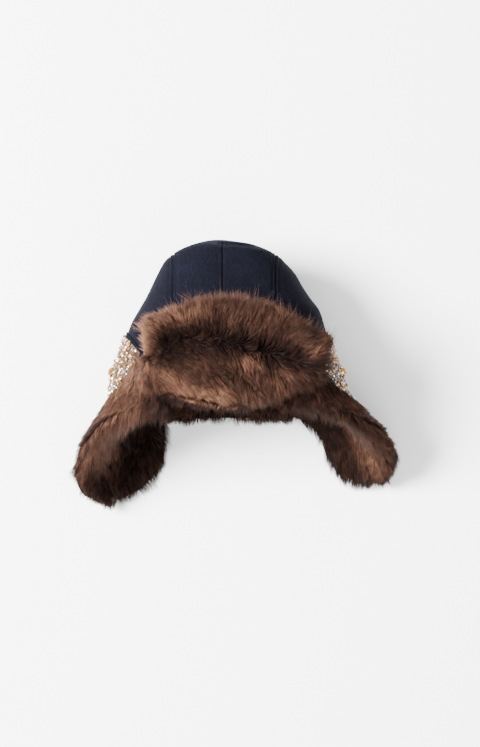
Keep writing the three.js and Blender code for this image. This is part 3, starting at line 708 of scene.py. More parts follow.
def build_stitches():
    """A row of stitches on both sides of each seam, over the front and the back"""
    parts = []
    for x in [seam + offset for seam in SEAMS for offset in (-STITCH_OFFSET, STITCH_OFFSET)]:
        heights = np.linspace(-14, CROWN_HEIGHT - 0.3, 1200)
        _, half, shift, *_ = crown_row(heights)
        reach = heights[np.abs(x - shift) < half * 0.985].max()
        for front, low in ((True, 0.5), (False, -10)):
            y = np.linspace(low, reach, 700)
            parts.append(stitch_row(crown_skin(y, seam_angle(x, y, front))))
    make_piece("crown_stitching", parts, [THREAD])


for name, low, high in (
    ("crown_side_left", None, SEAMS[0]),
    ("crown_strip_left", SEAMS[0], SEAMS[1]),
    ("crown_strip_right", SEAMS[1], SEAMS[2]),
    ("crown_side_right", SEAMS[2], None),
):
    crown_panel(name, low, high)
build_stitches()


# The lining: a wall with a short dense pile, in near-black tones that are painted shade inside the crown
def build_lining():
    rng = np.random.default_rng(11)
    rows, columns, n, m = 40, 72, 5600, 1800
    u, v = np.meshgrid(np.linspace(0, 1, rows) ** 2, np.linspace(0, 1, columns), indexing="ij")
    phi = 2 * math.pi * v
    outside = -(CROWN_CLOTH + GAP)
    inside = outside - LINING_PILE

    def wall(out):
        top = CROWN_HEIGHT + out
        return crown_point(top - (top - crown_edge(phi)) * u, phi, out)

    body = slab(wall(inside + 3.0), wall(outside), ring=True)
    # Painted shade: the lining's skin and hairs get the darkest browns.
    dress(body, DEEP_SHADE_BROWN * 0.5, np.stack([phi * 80, u * 160, 0 * u], -1))
    phi = rng.uniform(0, 2 * math.pi, n)
    share = np.sqrt(rng.uniform(0.0, 1, n))
    top = CROWN_HEIGHT + inside
    y = top - (top - crown_edge(phi)) * share**1.5
    root = crown_point(y, phi, inside + 3.0)
    normal = unit(crown_point(y, phi, inside) - root)
    down = unit(crown_point(y - 1, phi, inside + 3.0) - root)
    length = rng.uniform(4.5, 7.5, n)
    hair = hairs(rng, root, normal, down, length, 1.0, 0.55, 0.12, clump=(12, 0.5))

    phi = rng.uniform(0, 2 * math.pi, m)
    y = crown_edge(phi) + rng.uniform(0, 2.5, m)
    root = crown_point(y, phi, inside + rng.uniform(1, LINING_PILE, m))
    normal = unit(crown_point(y, phi, inside - 1) - crown_point(y, phi, inside))
    length = rng.uniform(6, 11, m)
    down = np.array([0.0, -1.0, 0.0])
    edge = hairs(rng, root, normal, down, length, 0.7, 0.25, 0.1, clump=(12, 0.5))
    make_piece("crown_lining_pile", [body, hair, edge], [UNDERCOAT, HAIR], ["crown_lining"])


build_lining()


# The visor's cloth, with its fold under the brow edge
def build_visor_flap():
    rows, columns = 30, 72
    u, v = np.meshgrid(np.linspace(0, 1, rows), np.linspace(-0.89, 0.93, columns), indexing="ij")
    edge = 0.35 * np.exp(-(((1 - u) / 0.06) ** 2))
    face = slab(visor_point(v, u, VISOR_CLOTH + edge), visor_point(v, u, 0.0))
    turn = np.linspace(0, math.pi, 9)[:, None]
    across = np.linspace(-1, 1, columns)[None, :] * 0.9
    phi = np.radians(90 - across * VISOR_LEFT_SPAN * 0.65)
    middle = (VISOR_CLOTH - CROWN_CLOTH + GAP) / 2
    reach = (VISOR_CLOTH + CROWN_CLOTH + GAP) / 2

    def fold(shrink):
        out = middle + (reach - shrink) * np.cos(turn)
        return crown_point(-GAP - VISOR_FOLD * np.sin(turn) * (1 - shrink / 6), phi + 0 * turn, out + 0 * phi)

    roll = slab(fold(0.0), fold(1.8))
    weld(make_piece("visor_flap_cloth", [face, roll], [CLOTH], ["visor_flap"]))


build_visor_flap()


def visor_frame(across, up, out):
    """A point of the visor, and the axes there: out of it, up and sideways"""
    step = 0.01
    at = visor_point(across, up, out)
    normal = unit(visor_point(across, up, out + 1.0) - at)
    upward = unit(visor_point(across, up + step, out) - visor_point(across, up - step, out))
    sideways = unit(visor_point(across + step, up, out) - visor_point(across - step, up, out))
    return at, normal, upward, sideways


# The hollow across the visor's pile, where the pile dips and its colour is darkened as painted shade, in
# millimetres from the hat's middle and brow. x, y, share of depth
HOLLOW = np.array([
    (-78, 42, 0), (-70, 48, 0.1), (-62, 54, 0.85), (-50, 59, 1), (-35, 62, 1),
    (-22, 63, 1), (-12, 62, 0.85), (-3, 59, 0.5), (6, 57, 0.4), (16, 55, 0.7),
    (28, 52, 1), (42, 49, 1), (58, 45, 1), (72, 40, 0.8), (86, 33, 0.2),
])
# Light and dark spots on the visor's pile: painted highlights on its ridges and painted shade by the hollow,
# partly the pile's own lighter and darker patches. x, y: the middle. wide, high: half sizes. lean: degrees.
# light: added
TONE_AND_PAINTED_LIGHT_SPOTS = np.array([
    (-80, 54, 11, 24, 0, 0.6),
    (-44, 86, 36, 11, 12, 0.4),
    (10, 84, 20, 11, 0, 0.16),
    (46, 78, 30, 13, -22, 0.06),
    (84, 50, 14, 16, -50, 0.3),
    (-50, 19, 34, 9, -30, 0.52),
    (-4, 3, 30, 9, -4, 0.56),
    (24, 34, 11, 11, 20, 0.5),
    (-4, 32, 20, 11, -10, 0.16),
    (52, 17, 22, 8, 14, 0.34),
    (38, 24, 5, 13, 0, -0.22),
    (-12, 76, 14, 5, 48, -0.5),
    (-38, 54, 27, 14, 4, -0.7),
    (60, 46, 26, 8, -12, -0.4),
])


def hollow_side(at):
    """How far a point lies above the hollow's line, the line's slope there, and how deep the hollow is"""
    x = np.clip(at[..., 0], HOLLOW[0, 0], HOLLOW[-1, 0])
    slope = (read(HOLLOW, 1, x + 3) - read(HOLLOW, 1, x - 3)) / 6
    steep = np.sqrt(1 + slope**2)
    return (at[..., 1] - read(HOLLOW, 1, x)) / steep, slope, read(HOLLOW, 2, x)


def visor_tone_and_painted_light(at):
    """How light the pile's colour is, from 0 in the hollow to 1 on the ridges: painted shade in the hollow
    and painted highlights on the ridges, with lighter and darker spots partly of the pile's own tone
    """
    x, y = at[..., 0], at[..., 1]
    apart, _, depth = hollow_side(at)
    # Painted shade darkens the hollow; the spots add painted highlights, more painted shade and the pile's
    # own lighter and darker patches.
    light = 0.26 - 1.1 * depth * np.exp(-((apart / np.where(apart > 0, 9, 13)) ** 2))
    for middle_x, middle_y, wide, high, lean, added in TONE_AND_PAINTED_LIGHT_SPOTS:
        turn = math.radians(lean)
        along = (x - middle_x) * math.cos(turn) + (y - middle_y) * math.sin(turn)
        off = (y - middle_y) * math.cos(turn) - (x - middle_x) * math.sin(turn)
        light = light + added * np.exp(-((along / wide) ** 2) - (off / high) ** 2)
    return np.clip(light, 0, 1)


def visor_dip(apart, depth):
    """The share of the pile's height that is left near the hollow"""
    return 1 - 0.8 * depth * np.exp(-((apart / 9) ** 2))


def visor_pelt():
    rows, columns = 34, 96
    u, v = np.meshgrid(np.linspace(-0.02, 1.02, rows), np.linspace(-0.96, 0.94, columns), indexing="ij")
    rim = 1 - np.clip(np.abs(2 * (u - 0.5)), 0, 1) ** 10
    ends = np.sqrt(np.maximum(1 - np.abs((v + 0.01) / 0.96) ** 12, 0))
    face = visor_point(v, u, VISOR_PILE)
    apart, _, depth = hollow_side(face)
    pile = visor_pile(np.clip(u, 0, 1), np.clip(v, -1, 1)) - VISOR_CLOTH
    height = VISOR_CLOTH + pile * 0.55 * rim * ends * visor_dip(apart, depth)
    pelt = slab(visor_point(v, u, height), visor_point(v, u, VISOR_CLOTH * 0.6 + 0 * u))
    # The undercoat's tone follows the same painted light, near black as painted shade in the hollow.
    tone = mix(ROOT_AND_SHADE_BROWN, MID_BROWN * 0.7, visor_tone_and_painted_light(face)[..., None]).reshape(-1, 3)
    dress(pelt, np.tile(tone, (2, 1)), np.stack([v * 90 + u * 12, u * 95, 0 * u], -1))
    return pelt


def visor_hairs(rng, n):
    """Hair that leaves the hollow on both sides and runs off the visor's edges"""
    across = rng.uniform(-0.95, 0.92, n)
    up = rng.uniform(0.03, 1.0, n)
    apart, slope, depth = hollow_side(visor_point(across, up, VISOR_PILE))
    stand = VISOR_CLOTH + (visor_pile(up, across) - VISOR_CLOTH) * 0.42 * visor_dip(apart, depth)
    at, normal, upward, sideways = visor_frame(across, up, stand)
    x = at[:, 0]
    steep = np.sqrt(1 + slope**2)[:, None]
    leave = (upward - sideways * slope[:, None]) / steep
    drift = mix(1.25, 0.25, smooth(x, -20, 24)) + 0.4 * smooth(x, 30, 70)
    below = unit(mix(-leave, -upward, 0.5) + sideways * drift[:, None])
    curl = 0.25 * np.sin(x / 9) - 0.36 * (1 - smooth(x, -70, -20)) + 0.2 * smooth(x, 40, 80)
    above = unit(leave + sideways * curl[:, None])
    flow = mix(below, above, smooth(apart, -5, 5)[:, None])
    ends = smooth(np.abs(across), 0.82, 1.0)[:, None]
    wave = 0.2 * sideways * np.sin(x / 5 + up * 9)[:, None]
    flow = unit(flow + sideways * np.sign(across)[:, None] * ends * 0.1 + wave)
    low = 1 - smooth(up, 0.02, 0.16)
    flow = unit(flow + (sideways * 0.7 + normal * 0.5) * (low * (1 - smooth(x, 0, 50)))[:, None])
    corner = (1 - smooth(across, -0.9, -0.72)) * (1 - smooth(up, 0.3, 0.6))
    flow = unit(mix(flow, np.array([-0.5, -1.0, 0.0]), corner[:, None] * 0.5))
    left_top = (1 - smooth(across, -0.92, -0.7)) * smooth(up, 0.4, 0.7)
    flow = unit(mix(flow, upward + 0.2 * sideways, left_top[:, None] * 0.85))
    edge = np.maximum(np.maximum(smooth(up, 0.86, 1), 1 - smooth(up, 0, 0.12)), ends[:, 0])
    length = mix(22.0, 13.0, edge) - 2 * low
    length = length * mix(1, 0.7, depth * np.exp(-((apart / 8) ** 2))) * rng.uniform(0.8, 1.2, n)
    length = length * (1 - 0.35 * left_top)
    # Each hair takes the painted light where its tip lies, so hairs that end in the hollow carry its painted
    # shade.
    light = visor_tone_and_painted_light(at + flow * (length * 0.6)[:, None])
    lift = mix(0.58, 0.42, edge)
    return hairs(rng, at, normal, flow, length, 0.54, lift, light, clump=(20, 0.45), lock=(160, 0.22))


def visor_strays(rng, n):
    """Loose hair along the visor's edges"""
    across = rng.uniform(-0.93, 0.9, n)
    up = rng.choice([0.0, 1.0], n, p=[0.2, 0.8])
    at, normal, upward, sideways = visor_frame(across, up, VISOR_CLOTH + rng.uniform(0.5, 12, n))
    swing = 0.5 * np.sin(across * 9)[:, None] + rng.normal(0, 0.35, (n, 1))
    flow = unit(upward * (2 * up - 1)[:, None] + sideways * (across[:, None] * 0.3 + swing))
    length = rng.uniform(9, 19, n) * mix(0.5, 1.0, up)
    lift = rng.uniform(0.2, 0.7, n)
    return hairs(rng, at, normal, flow, length, 0.34, lift, visor_tone_and_painted_light(at) + 0.1, clump=(7, 0.4))


def visor_wisps(rng, n):
    """Long fine hair that stands over the crown"""
    across = rng.uniform(-0.55, 0.85, n)
    up = rng.uniform(0.9, 1.0, n)
    at, normal, upward, sideways = visor_frame(across, up, VISOR_CLOTH + rng.uniform(6, 14, n))
    swing = 0.5 * np.sin(across * 11)[:, None] + rng.normal(0, 0.55, (n, 1))
    flow = unit(upward + sideways * swing)
    length, lift = rng.uniform(18, 31, n), rng.uniform(0.15, 0.6, n)
    return hairs(rng, at, normal, flow, length, 0.3, lift, 0.5, clump=(3, 0.3), lock=(60, 0.1))


def brow_hairs(rng, n):
    """Hair that hangs over the fold at the brow, dark as painted shade where the visor meets the hat's
    opening
    """
    across = rng.uniform(-0.9, 0.9, n)
    up = rng.uniform(-0.02, 0.05, n)
    at, normal, _, _ = visor_frame(across, up, VISOR_CLOTH + rng.uniform(-1, 3, n))
    length = mix(11.0, 16.0, smooth(np.abs(across), 0.1, 0.5))
    flow = np.array([0.1, -1.0, -0.1])
    return hairs(rng, at, normal, flow, length, 0.5, 0.3, 0.12, clump=(12, 0.4))


def visor_end_hairs(rng, n):
    """Hair that covers the corner between the visor's left end and the flap"""
    across = rng.uniform(-0.96, -0.88, n)
    up = rng.uniform(0.1, 0.62, n)
    at, normal, _, _ = visor_frame(across, up, VISOR_CLOTH + rng.uniform(0, 6, n))
    flow = unit(np.array([-1.0, -0.55, -0.1]) + rng.normal(0, 0.2, (n, 3)))
    length = rng.uniform(10, 15, n)
    return hairs(rng, at, normal, flow, length, 0.5, 0.1, 0.42, clump=(10, 0.4))


def build_visor_fur():
    rng = np.random.default_rng(21)
    parts = [visor_pelt()]
    for kind, count in ((visor_hairs, 14100), (visor_strays, 2100), (visor_wisps, 340), (brow_hairs, 1500),
                        (visor_end_hairs, 280)):
        parts.append(kind(rng, count))
    make_piece("visor_fur_pile", parts, [UNDERCOAT, HAIR], ["visor_fur"])


build_visor_fur()


# The ear flaps
def build_ear_flap(flap):
    a, c = np.meshgrid(np.linspace(0, 1, 44), np.linspace(-1, 1, 40), indexing="ij")
    part = slab(flap_point(flap, a, c, 0.0), flap_point(flap, a, c, -FLAP_CLOTH))
    part["co"][:, 2] = np.maximum(part["co"][:, 2], 0.4)
    weld(make_piece(f"ear_flap_{flap}_cloth", [part], [CLOTH], [f"ear_flap_{flap}"]))


def front_band(along):
    return read(FRONT_BAND, 1, along)


def flap_tone_and_painted_light(flap, at, along, across):
    """The turned-over front is light at its top, and the hollow and the rear band are dark: painted light on
    the lit front, painted shade in the hollow, the groove and the rear band, together with lighter and darker
    places along the flap.
    """
    x, y = at[..., 0], at[..., 1]
    if flap == "left":
        # Left flap: the lit front band keeps its light, while the inside behind it gets painted shade.
        low = 1 - smooth(y, -48, -8)
        front = smooth(across, mix(0.05, -0.4, low), mix(0.5, 0.0, low))
        shade = 0.2 + 0.42 * smooth(y, -46, 24) + 0.2 * np.exp(-(((y + 54) / 20) ** 2))
        # Painted shade in the flap's hollow; the pile also darkens towards the tip.
        hollow = smooth(x - 0.35 * y, -88, -72)
        shade = shade * front * (1 - 0.9 * hollow) * (1 - 0.7 * smooth(along, 0.84, 0.95))
        shade = shade + 0.1 * smooth(-across, 0.7, 1.0) + 0.1 * smooth(along, 0.9, 0.98)
    else:
        # Right flap: painted shade in the groove and on the rear band; lighter across the middle.
        groove = np.exp(-(((across + 0.45) / 0.14) ** 2)) * smooth(along, 0.45, 0.6)
        shade = 0.2 + 0.24 * smooth(along, 0.5, 0.8) + 0.16 * np.exp(-(((across - 0.15) / 0.3) ** 2))
        shade = shade + 0.14 * np.exp(-(((along - 0.5) / 0.14) ** 2) - ((across - 0.9) / 0.5) ** 2)
        shade = mix(0.1, shade, smooth(across, -0.75, -0.3)) - 0.24 * groove - 0.16 * smooth(along, 0.9, 0.98)
        shade = shade - 0.12 * smooth(across, 0.75, 1.0)
    return np.clip(0.02 + shade, 0, 1)


def fanned(flap, at, along, flow):
    """Towards the tip the pile spreads like a fan."""
    heart = flap_point(flap, 0.74, 0.0, 0.0)
    return unit(mix(flow, unit(at - heart), smooth(along, 0.8, 0.93)[:, None]))


def ear_pelt(flap):
    rows, columns = 52, 60
    a, c = np.meshgrid(np.linspace(0.0, 1, rows), np.linspace(-1, 1, columns), indexing="ij")
    end = smooth(a, 0.86, 0.97)
    band = front_band(a)
    wrap = np.maximum.reduce([smooth(-c, 0.82, 0.95), end, smooth(c, band - 0.05, band + 0.08)])
    up = flap_pile(a, c) * mix(0.5, 0.2, smooth(np.abs(c), 0.8, 1.0)) * mix(1.0, 0.4, end)
    inner = flap_point(flap, a, c, up, FLAP_RIM * 0.8, -GAP)
    outer = flap_point(flap, a, c, mix(-0.6, -FLAP_CLOTH - 3.4, wrap), FLAP_RIM * 0.8, -GAP)
    pelt = slab(inner, outer)
    pelt["co"][:, 2] = np.maximum(pelt["co"][:, 2], 0.6)
    # The undercoat takes the flap's painted light and shade, near black where shade is painted.
    tones = [mix(ROOT_AND_SHADE_BROWN, MID_BROWN * 0.7, flap_tone_and_painted_light(flap, skin, a, c)[..., None]).reshape(-1, 3)
             for skin in (inner, outer)]
    dress(pelt, np.concatenate(tones), np.stack([c * 62, a * 150, 0 * a], -1))
    return pelt


def pile_root(flap, along, across, level, rim):
    """A hair's root and axes. rim: how far the pile reaches past the cloth, as a share of the whole rim"""
    return flap_point(flap, along, across, level, FLAP_RIM * rim, -GAP, way=True)


def ear_hairs(rng, flap, n):
    """Hair on the flap's inner side"""
    across = np.clip(rng.uniform(-1.02, 1.02, n), -1, 1)
    along = 0.08 + 0.9 * rng.uniform(0, 1, n)
    height = flap_pile(along, across) * mix(0.42, 0.1, smooth(np.abs(across), 0.75, 1.0))
    at, normal, down, wide = pile_root(flap, along, across, height, 0.7)
    edge = smooth(np.abs(across), 0.55, 1.0)[:, None]
    wave = wide * 0.16 * np.sin(along * 23)[:, None]
    flow = unit(down + wide * np.sign(across)[:, None] * edge * 0.6 + wave)
    crest = (smooth(across, 0.25, 0.75) * (1 - smooth(along, 0.7, 0.9)))[:, None] * CREST[flap]
    hanging = np.array([0.06 * FLAPS[flap][0], -1.0, 0.12])
    flow = fanned(flap, at, along, unit(mix(flow, hanging, crest)))
    length = mix(mix(16.0, 20.0, edge[:, 0]), 25.0, crest[:, 0]) - 5 * smooth(along, 0.9, 0.97)
    # The hairs take the flap's painted light and shade along with its tone.
    light = flap_tone_and_painted_light(flap, at, along, across)
    lift = mix(0.55, 0.28, edge[:, 0])
    return hairs(rng, at, normal, flow, length, 0.56, lift, light, clump=(20, 0.42), lock=(160, 0.22))


def ear_fringe(rng, flap, n):
    """Hair that stands out past the flap's rim"""
    tip_end = rng.uniform(0, 1, n) > 0.66
    along = np.where(tip_end, 1 - 0.16 * rng.uniform(0, 1, n) ** 2.2, rng.uniform(0.14, 0.9, n))
    sides = rng.choice([-1.0, 1.0], n, p=[0.36, 0.64])
    across = np.where(tip_end, rng.uniform(-1, 1, n), sides * rng.uniform(0.88, 1.0, n))
    level = rng.uniform(-FLAP_CLOTH - 2.6, 4.0, n)
    at, normal, down, wide = pile_root(flap, along, across, level, 0.65)
    flow = unit(down * mix(0.85, 1.4, tip_end.astype(float))[:, None] + wide * across[:, None] * 0.9)
    hang = smooth(across, 0.6, 0.9) * (1 - smooth(along, 0.7, 0.92)) * HANG[flap]
    hanging = np.array([0.1 * FLAPS[flap][0], -1.0, 0.1])
    flow = fanned(flap, at, along, unit(mix(flow, hanging, hang[:, None])))
    outwards = np.where(level < -FLAP_CLOTH, -1.0, 0.6)[:, None] * normal
    light = flap_tone_and_painted_light(flap, at, along, across) + 0.04
    tip_length = mix(0.7, 1.15, smooth(-across, -0.1, 0.4)) - 0.4 * smooth(-across, 0.6, 1)
    length = rng.uniform(10, 16, n) * np.where(tip_end, tip_length, 1) + 9 * hang
    return hairs(rng, at, outwards, flow, length, 0.5, 0.26, light, clump=(10, 0.45))


def ear_turned(rng, flap, n):
    """Hair on the band that is turned over the front edge"""
    along = 0.92 * rng.uniform(0, 1, n) ** 1.15
    limit = front_band(along)
    across = limit + (1 - limit) * rng.uniform(0, 1, n)
    level = -FLAP_CLOTH - 3.0
    at, normal, down, wide = pile_root(flap, along, across, level, 0.4)
    near = smooth(across - limit, 0.25, 0.0)[:, None]
    flow = unit(down - wide * mix(0.1, 0.3, near) + wide * 0.14 * np.sin(along * 29)[:, None])
    hanging = np.array([0.12 * FLAPS[flap][0], -1.0, 0.0])
    flow = unit(mix(flow, hanging, (1 - smooth(along, 0.6, 0.85))[:, None] * 0.6))
    top = (1 - smooth(along, 0.0, 0.07))[:, None]
    flow = unit(mix(fanned(flap, at, along, flow), -0.6 * down - 0.4 * wide, top * 0.8))
    rough = smooth(along, 0.3, 0.5) * RUFFLE[flap]
    lift = mix(mix(0.42, 0.3, near[:, 0]), 0.75, rough)
    length = mix(18.0, 10.0, near[:, 0]) - 3 * rough - 7 * smooth(along, 0.7, 0.86) - 5 * top[:, 0]
    light = flap_tone_and_painted_light(flap, at, along, across) + 0.03
    return hairs(rng, at, -normal, flow, length, 0.52, lift, light, clump=(16, 0.45))


def ear_rim(rng, flap, n):
    """Short hair round the tip and over the top of the turned band"""
    low_end = rng.uniform(0, 1, n) < 0.75
    along = np.where(low_end, rng.uniform(0.84, 1.0, n), rng.uniform(0.0, 0.06, n))
    across = np.where(low_end, rng.uniform(-1, 1, n), rng.uniform(0.56, 0.95, n))
    level = -FLAP_CLOTH - 2.6
    at, normal, down, wide = pile_root(flap, along, across, level, 0.6)
    flow = np.where(low_end[:, None], fanned(flap, at, along, down), unit(-0.5 * down - 0.5 * wide))
    length = np.where(low_end, rng.uniform(8, 13, n), rng.uniform(6, 9, n))
    light = flap_tone_and_painted_light(flap, at, along, across) + 0.06
    return hairs(rng, at, -normal, flow, length, 0.5, 0.45, light, clump=(10, 0.4))


def build_ear_fur(flap):
    rng = np.random.default_rng(31 + FLAPS[flap][0])
    parts = [ear_pelt(flap)]
    for kind, count in ((ear_hairs, 8700), (ear_fringe, 4400), (ear_turned, 4100), (ear_rim, 900)):
        part = kind(rng, flap, count)
        part["co"][..., 2] = np.maximum(part["co"][..., 2], HAIR_FLOOR_GAP)
        parts.append(part)
    make_piece(f"ear_fur_{flap}_pile", parts, [UNDERCOAT, HAIR], [f"ear_fur_{flap}"])


# The stones: a dense mix of cut stones and beads on a stitched ground
def cut_stone(radius, height, sides=8, table=0.55, girdle=0.3):
    """A table over a ring of kite and triangle facets, on a straight girdle"""
    turn = 2 * math.pi * np.arange(sides) / sides
    rings = []
    for share, level, twist in ((1.0, -0.35, 0), (1.0, height * girdle, 0),
                                (mix(table, 1, 0.42), height * 0.82, 0.5), (table, height, 0)):
        angle = turn + twist * 2 * math.pi / sides
        circle = np.stack([np.cos(angle), np.sin(angle)], -1)
        rings.append(np.concatenate([circle * radius * share, np.full((sides, 1), level)], 1))
    quads, triangles = [], []
    for k in range(sides):
        low, high, top = sides + k, 2 * sides + k, 3 * sides + k
        turned = (k + 1) % sides - k
        quads.append((k, k + turned, low + turned, low))
        triangles += [(low, low + turned, high), (low + turned, high + turned, high),
                      (high, top + turned, top), (high, high + turned, top + turned)]
    caps = [range(3 * sides, 4 * sides), range(sides - 1, -1, -1)]
    return np.concatenate(rings), [np.array(block) for block in (quads, triangles, caps)]


def ring_walls(rings, sides, closed=False):
    """The faces between rings of points. With closed, the last ring meets the first."""
    walls = []
    for ring in range(rings if closed else rings - 1):
        near, far = ring * sides, (ring + 1) % rings * sides
        walls += [(near + k, near + (k + 1) % sides, far + (k + 1) % sides, far + k) for k in range(sides)]
    return np.array(walls)


def bead(radius, sides=6, rows=2):
    co = []
    for r in range(rows + 1):
        lean = math.pi / 2 * (r + 0.35) / (rows + 0.35) - 0.12
        for k in range(sides):
            turn = 2 * math.pi * (k + 0.5 * (r % 2)) / sides
            co.append((radius * math.cos(lean) * math.cos(turn), radius * math.cos(lean) * math.sin(turn),
                       radius * math.sin(lean)))
    caps = [range(rows * sides, (rows + 1) * sides), range(sides - 1, -1, -1)]
    return np.array(co), [ring_walls(rows + 1, sides), np.array(caps)]


def cup(inside, outside, height, sides):
    """A metal ring that holds a stone, with its rim rounded"""
    profile = [(outside, -0.4), (outside, height * 0.7), (outside - 0.2, height), (inside + 0.1, height),
               (inside, height * 0.7), (inside, -0.4)]
    turn = 2 * math.pi * np.arange(sides) / sides
    co = np.array([(r * math.cos(t), r * math.sin(t), z) for r, z in profile for t in turn])
    return co, [ring_walls(len(profile), sides, closed=True)]


MAIN_STONE = 9.5
STONE_ROWS = 5
STONE_COLUMNS = 5
NET_EDGE = 0.76
NET_INSET = 0.06
# The small stones' radii, how many of each are wanted, and the share that is dark: a few real smoke stones on
# the left, and on the right mostly painted shade for the flap's shaded side
STONE_RADII = (3.0, 2.3, 1.7, 1.1)
STONE_COUNTS = {"left": (80, 170, 300, 520), "right": (50, 140, 320, 620)}
SMOKE_SHARE_AND_PAINTED_SHADE = {"left": 0.06, "right": 0.55}
# Above each radius: the kinds of stone, and the share of each
STONE_KINDS = (
    (2.0, (CLEAR, CHAMPAGNE, AMBER, SMOKE), (0.24, 0.34, 0.3, 0.12)),
    (1.5, (CLEAR, CHAMPAGNE, AMBER, SMOKE), (0.24, 0.32, 0.26, 0.18)),
    (0.0, (CLEAR, CHAMPAGNE, SMOKE, SILVER, GOLD), (0.14, 0.2, 0.22, 0.14, 0.3)),
)


def stone_places():
    places = []
    inset = MAIN_STONE / 2 / FLAP_HALF_WIDTH + 0.02
    for k in range(STONE_ROWS * STONE_COLUMNS):
        row, column = divmod(k, STONE_COLUMNS)
        stagger = 0.5 if row % 2 else 0.0
        along = mix(0.1, 0.76, row / (STONE_ROWS - 1))
        front = float(front_band(along)) - NET_INSET - inset
        across = mix(inset - NET_EDGE, front, (column + stagger) / (STONE_COLUMNS - 0.5))
        places.append((along, across, (column + 2 * row) % 4 == 1))
    return places


def on_flap(flap, along, across, level, lean=0.0, spin=0.0, rng=None):
    """A seat on the flap's outer face: its point, two axes in the face and the axis out of it"""
    at, inward, down, _ = flap_point(flap, along, across, level, way=True)
    out = -inward if rng is None else -inward + rng.normal(0, lean, 3)
    out = out / np.linalg.norm(out)
    x = down - out * np.dot(down, out)
    x = x / np.linalg.norm(x)
    y = np.cross(out, x)
    return at, x * math.cos(spin) + y * math.sin(spin), y * math.cos(spin) - x * math.sin(spin), out


def placed(seat, co):
    at, x, y, out = seat
    return at + co[:, :1] * x + co[:, 1:2] * y + co[:, 2:] * out


def build_crystals(flap):
    rng = np.random.default_rng(51 + FLAPS[flap][0])
    level = -FLAP_CLOTH - 3 * GAP
    ground = level - 0.8
    a, v = np.meshgrid(np.linspace(0.02, 0.9, 40), np.linspace(0, 1, 26), indexing="ij")
    c = mix(-0.84, np.minimum(front_band(a) + 0.04, 0.84), v)
    net = slab(flap_point(flap, a, c, level), flap_point(flap, a, c, ground))
    net["material"] = len(STONES)
    parts = [net]

    def add(seat, shape, kind):
        parts.append({"co": placed(seat, shape[0]), "faces": shape[1], "material": int(kind)})

    main = [(a, c) for a, c, is_main in stone_places() if is_main]
    taken = [(flap_point(flap, a, c, ground), MAIN_STONE / 2 + 0.9) for a, c in main]
    for i, (along, across) in enumerate(main):
        seat = on_flap(flap, along, across, ground)
        add(seat, cup(MAIN_STONE / 2 - 0.1, MAIN_STONE / 2 + 0.7, 3.0, 20), GOLD)
        co, faces = cut_stone(MAIN_STONE / 2, 3.4, 12, 0.5, 0.2)
        co[:, 2] += 1.9
        stone = f"stone_{flap}_{i + 1}"
        make_piece(f"{stone}_cut", [{"co": placed(seat, co), "faces": faces}], [STONES[AMBER]],
                   [stone], flat=True)

    chosen = []
    for radius, wanted in zip(STONE_RADII, STONE_COUNTS[flap]):
        tries = wanted * 14
        along = rng.uniform(0.03, 0.89, tries)
        limit = np.minimum(front_band(along) + 0.02, 0.82)
        across = mix(-0.82 + 0 * limit, limit, rng.uniform(0, 1, tries))
        spots = flap_point(flap, along, across, ground)
        found = 0
        for k in range(tries):
            points = np.array([p for p, _ in taken])
            reach = np.array([r for _, r in taken])
            if np.all(np.linalg.norm(points - spots[k], axis=1) > reach + radius * 0.98):
                taken.append((spots[k], radius))
                chosen.append((along[k], across[k], radius))
                found += 1
                if found >= wanted:
                    break
    for along, across, radius in chosen:
        seat = on_flap(flap, along, across, ground, 0.09, rng.uniform(0, math.pi), rng)
        kinds, shares = next((kinds, shares) for least, kinds, shares in STONE_KINDS if radius > least)
        # Dark smoke stones; on the right flap their large share is painted shade.
        kind = SMOKE if rng.uniform() < SMOKE_SHARE_AND_PAINTED_SHADE[flap] else rng.choice(kinds, p=shares)
        if radius > 2.0:
            metal = rng.choice([SILVER, GOLD], p=[0.35, 0.65])
            add(seat, cup(radius * 0.86, radius, radius * 0.42, 10), metal)
            shape = cut_stone(radius * 0.86, radius * rng.uniform(0.8, 1.0), 8)
        elif radius > 1.5:
            shape = cut_stone(radius, radius * rng.uniform(0.8, 1.0), 6)
            if rng.uniform() < 0.3:
                shape[0][:, :2] *= 1.25, 0.8
        else:
            shape = bead(radius)
        add(seat, shape, kind)
    node = f"crystals_{flap}"
    make_piece(f"{node}_field", parts, [*STONES, GROUND], [node], flat=True)


for flap in FLAPS:
    build_ear_flap(flap)
    build_ear_fur(flap)
    build_crystals(flap)
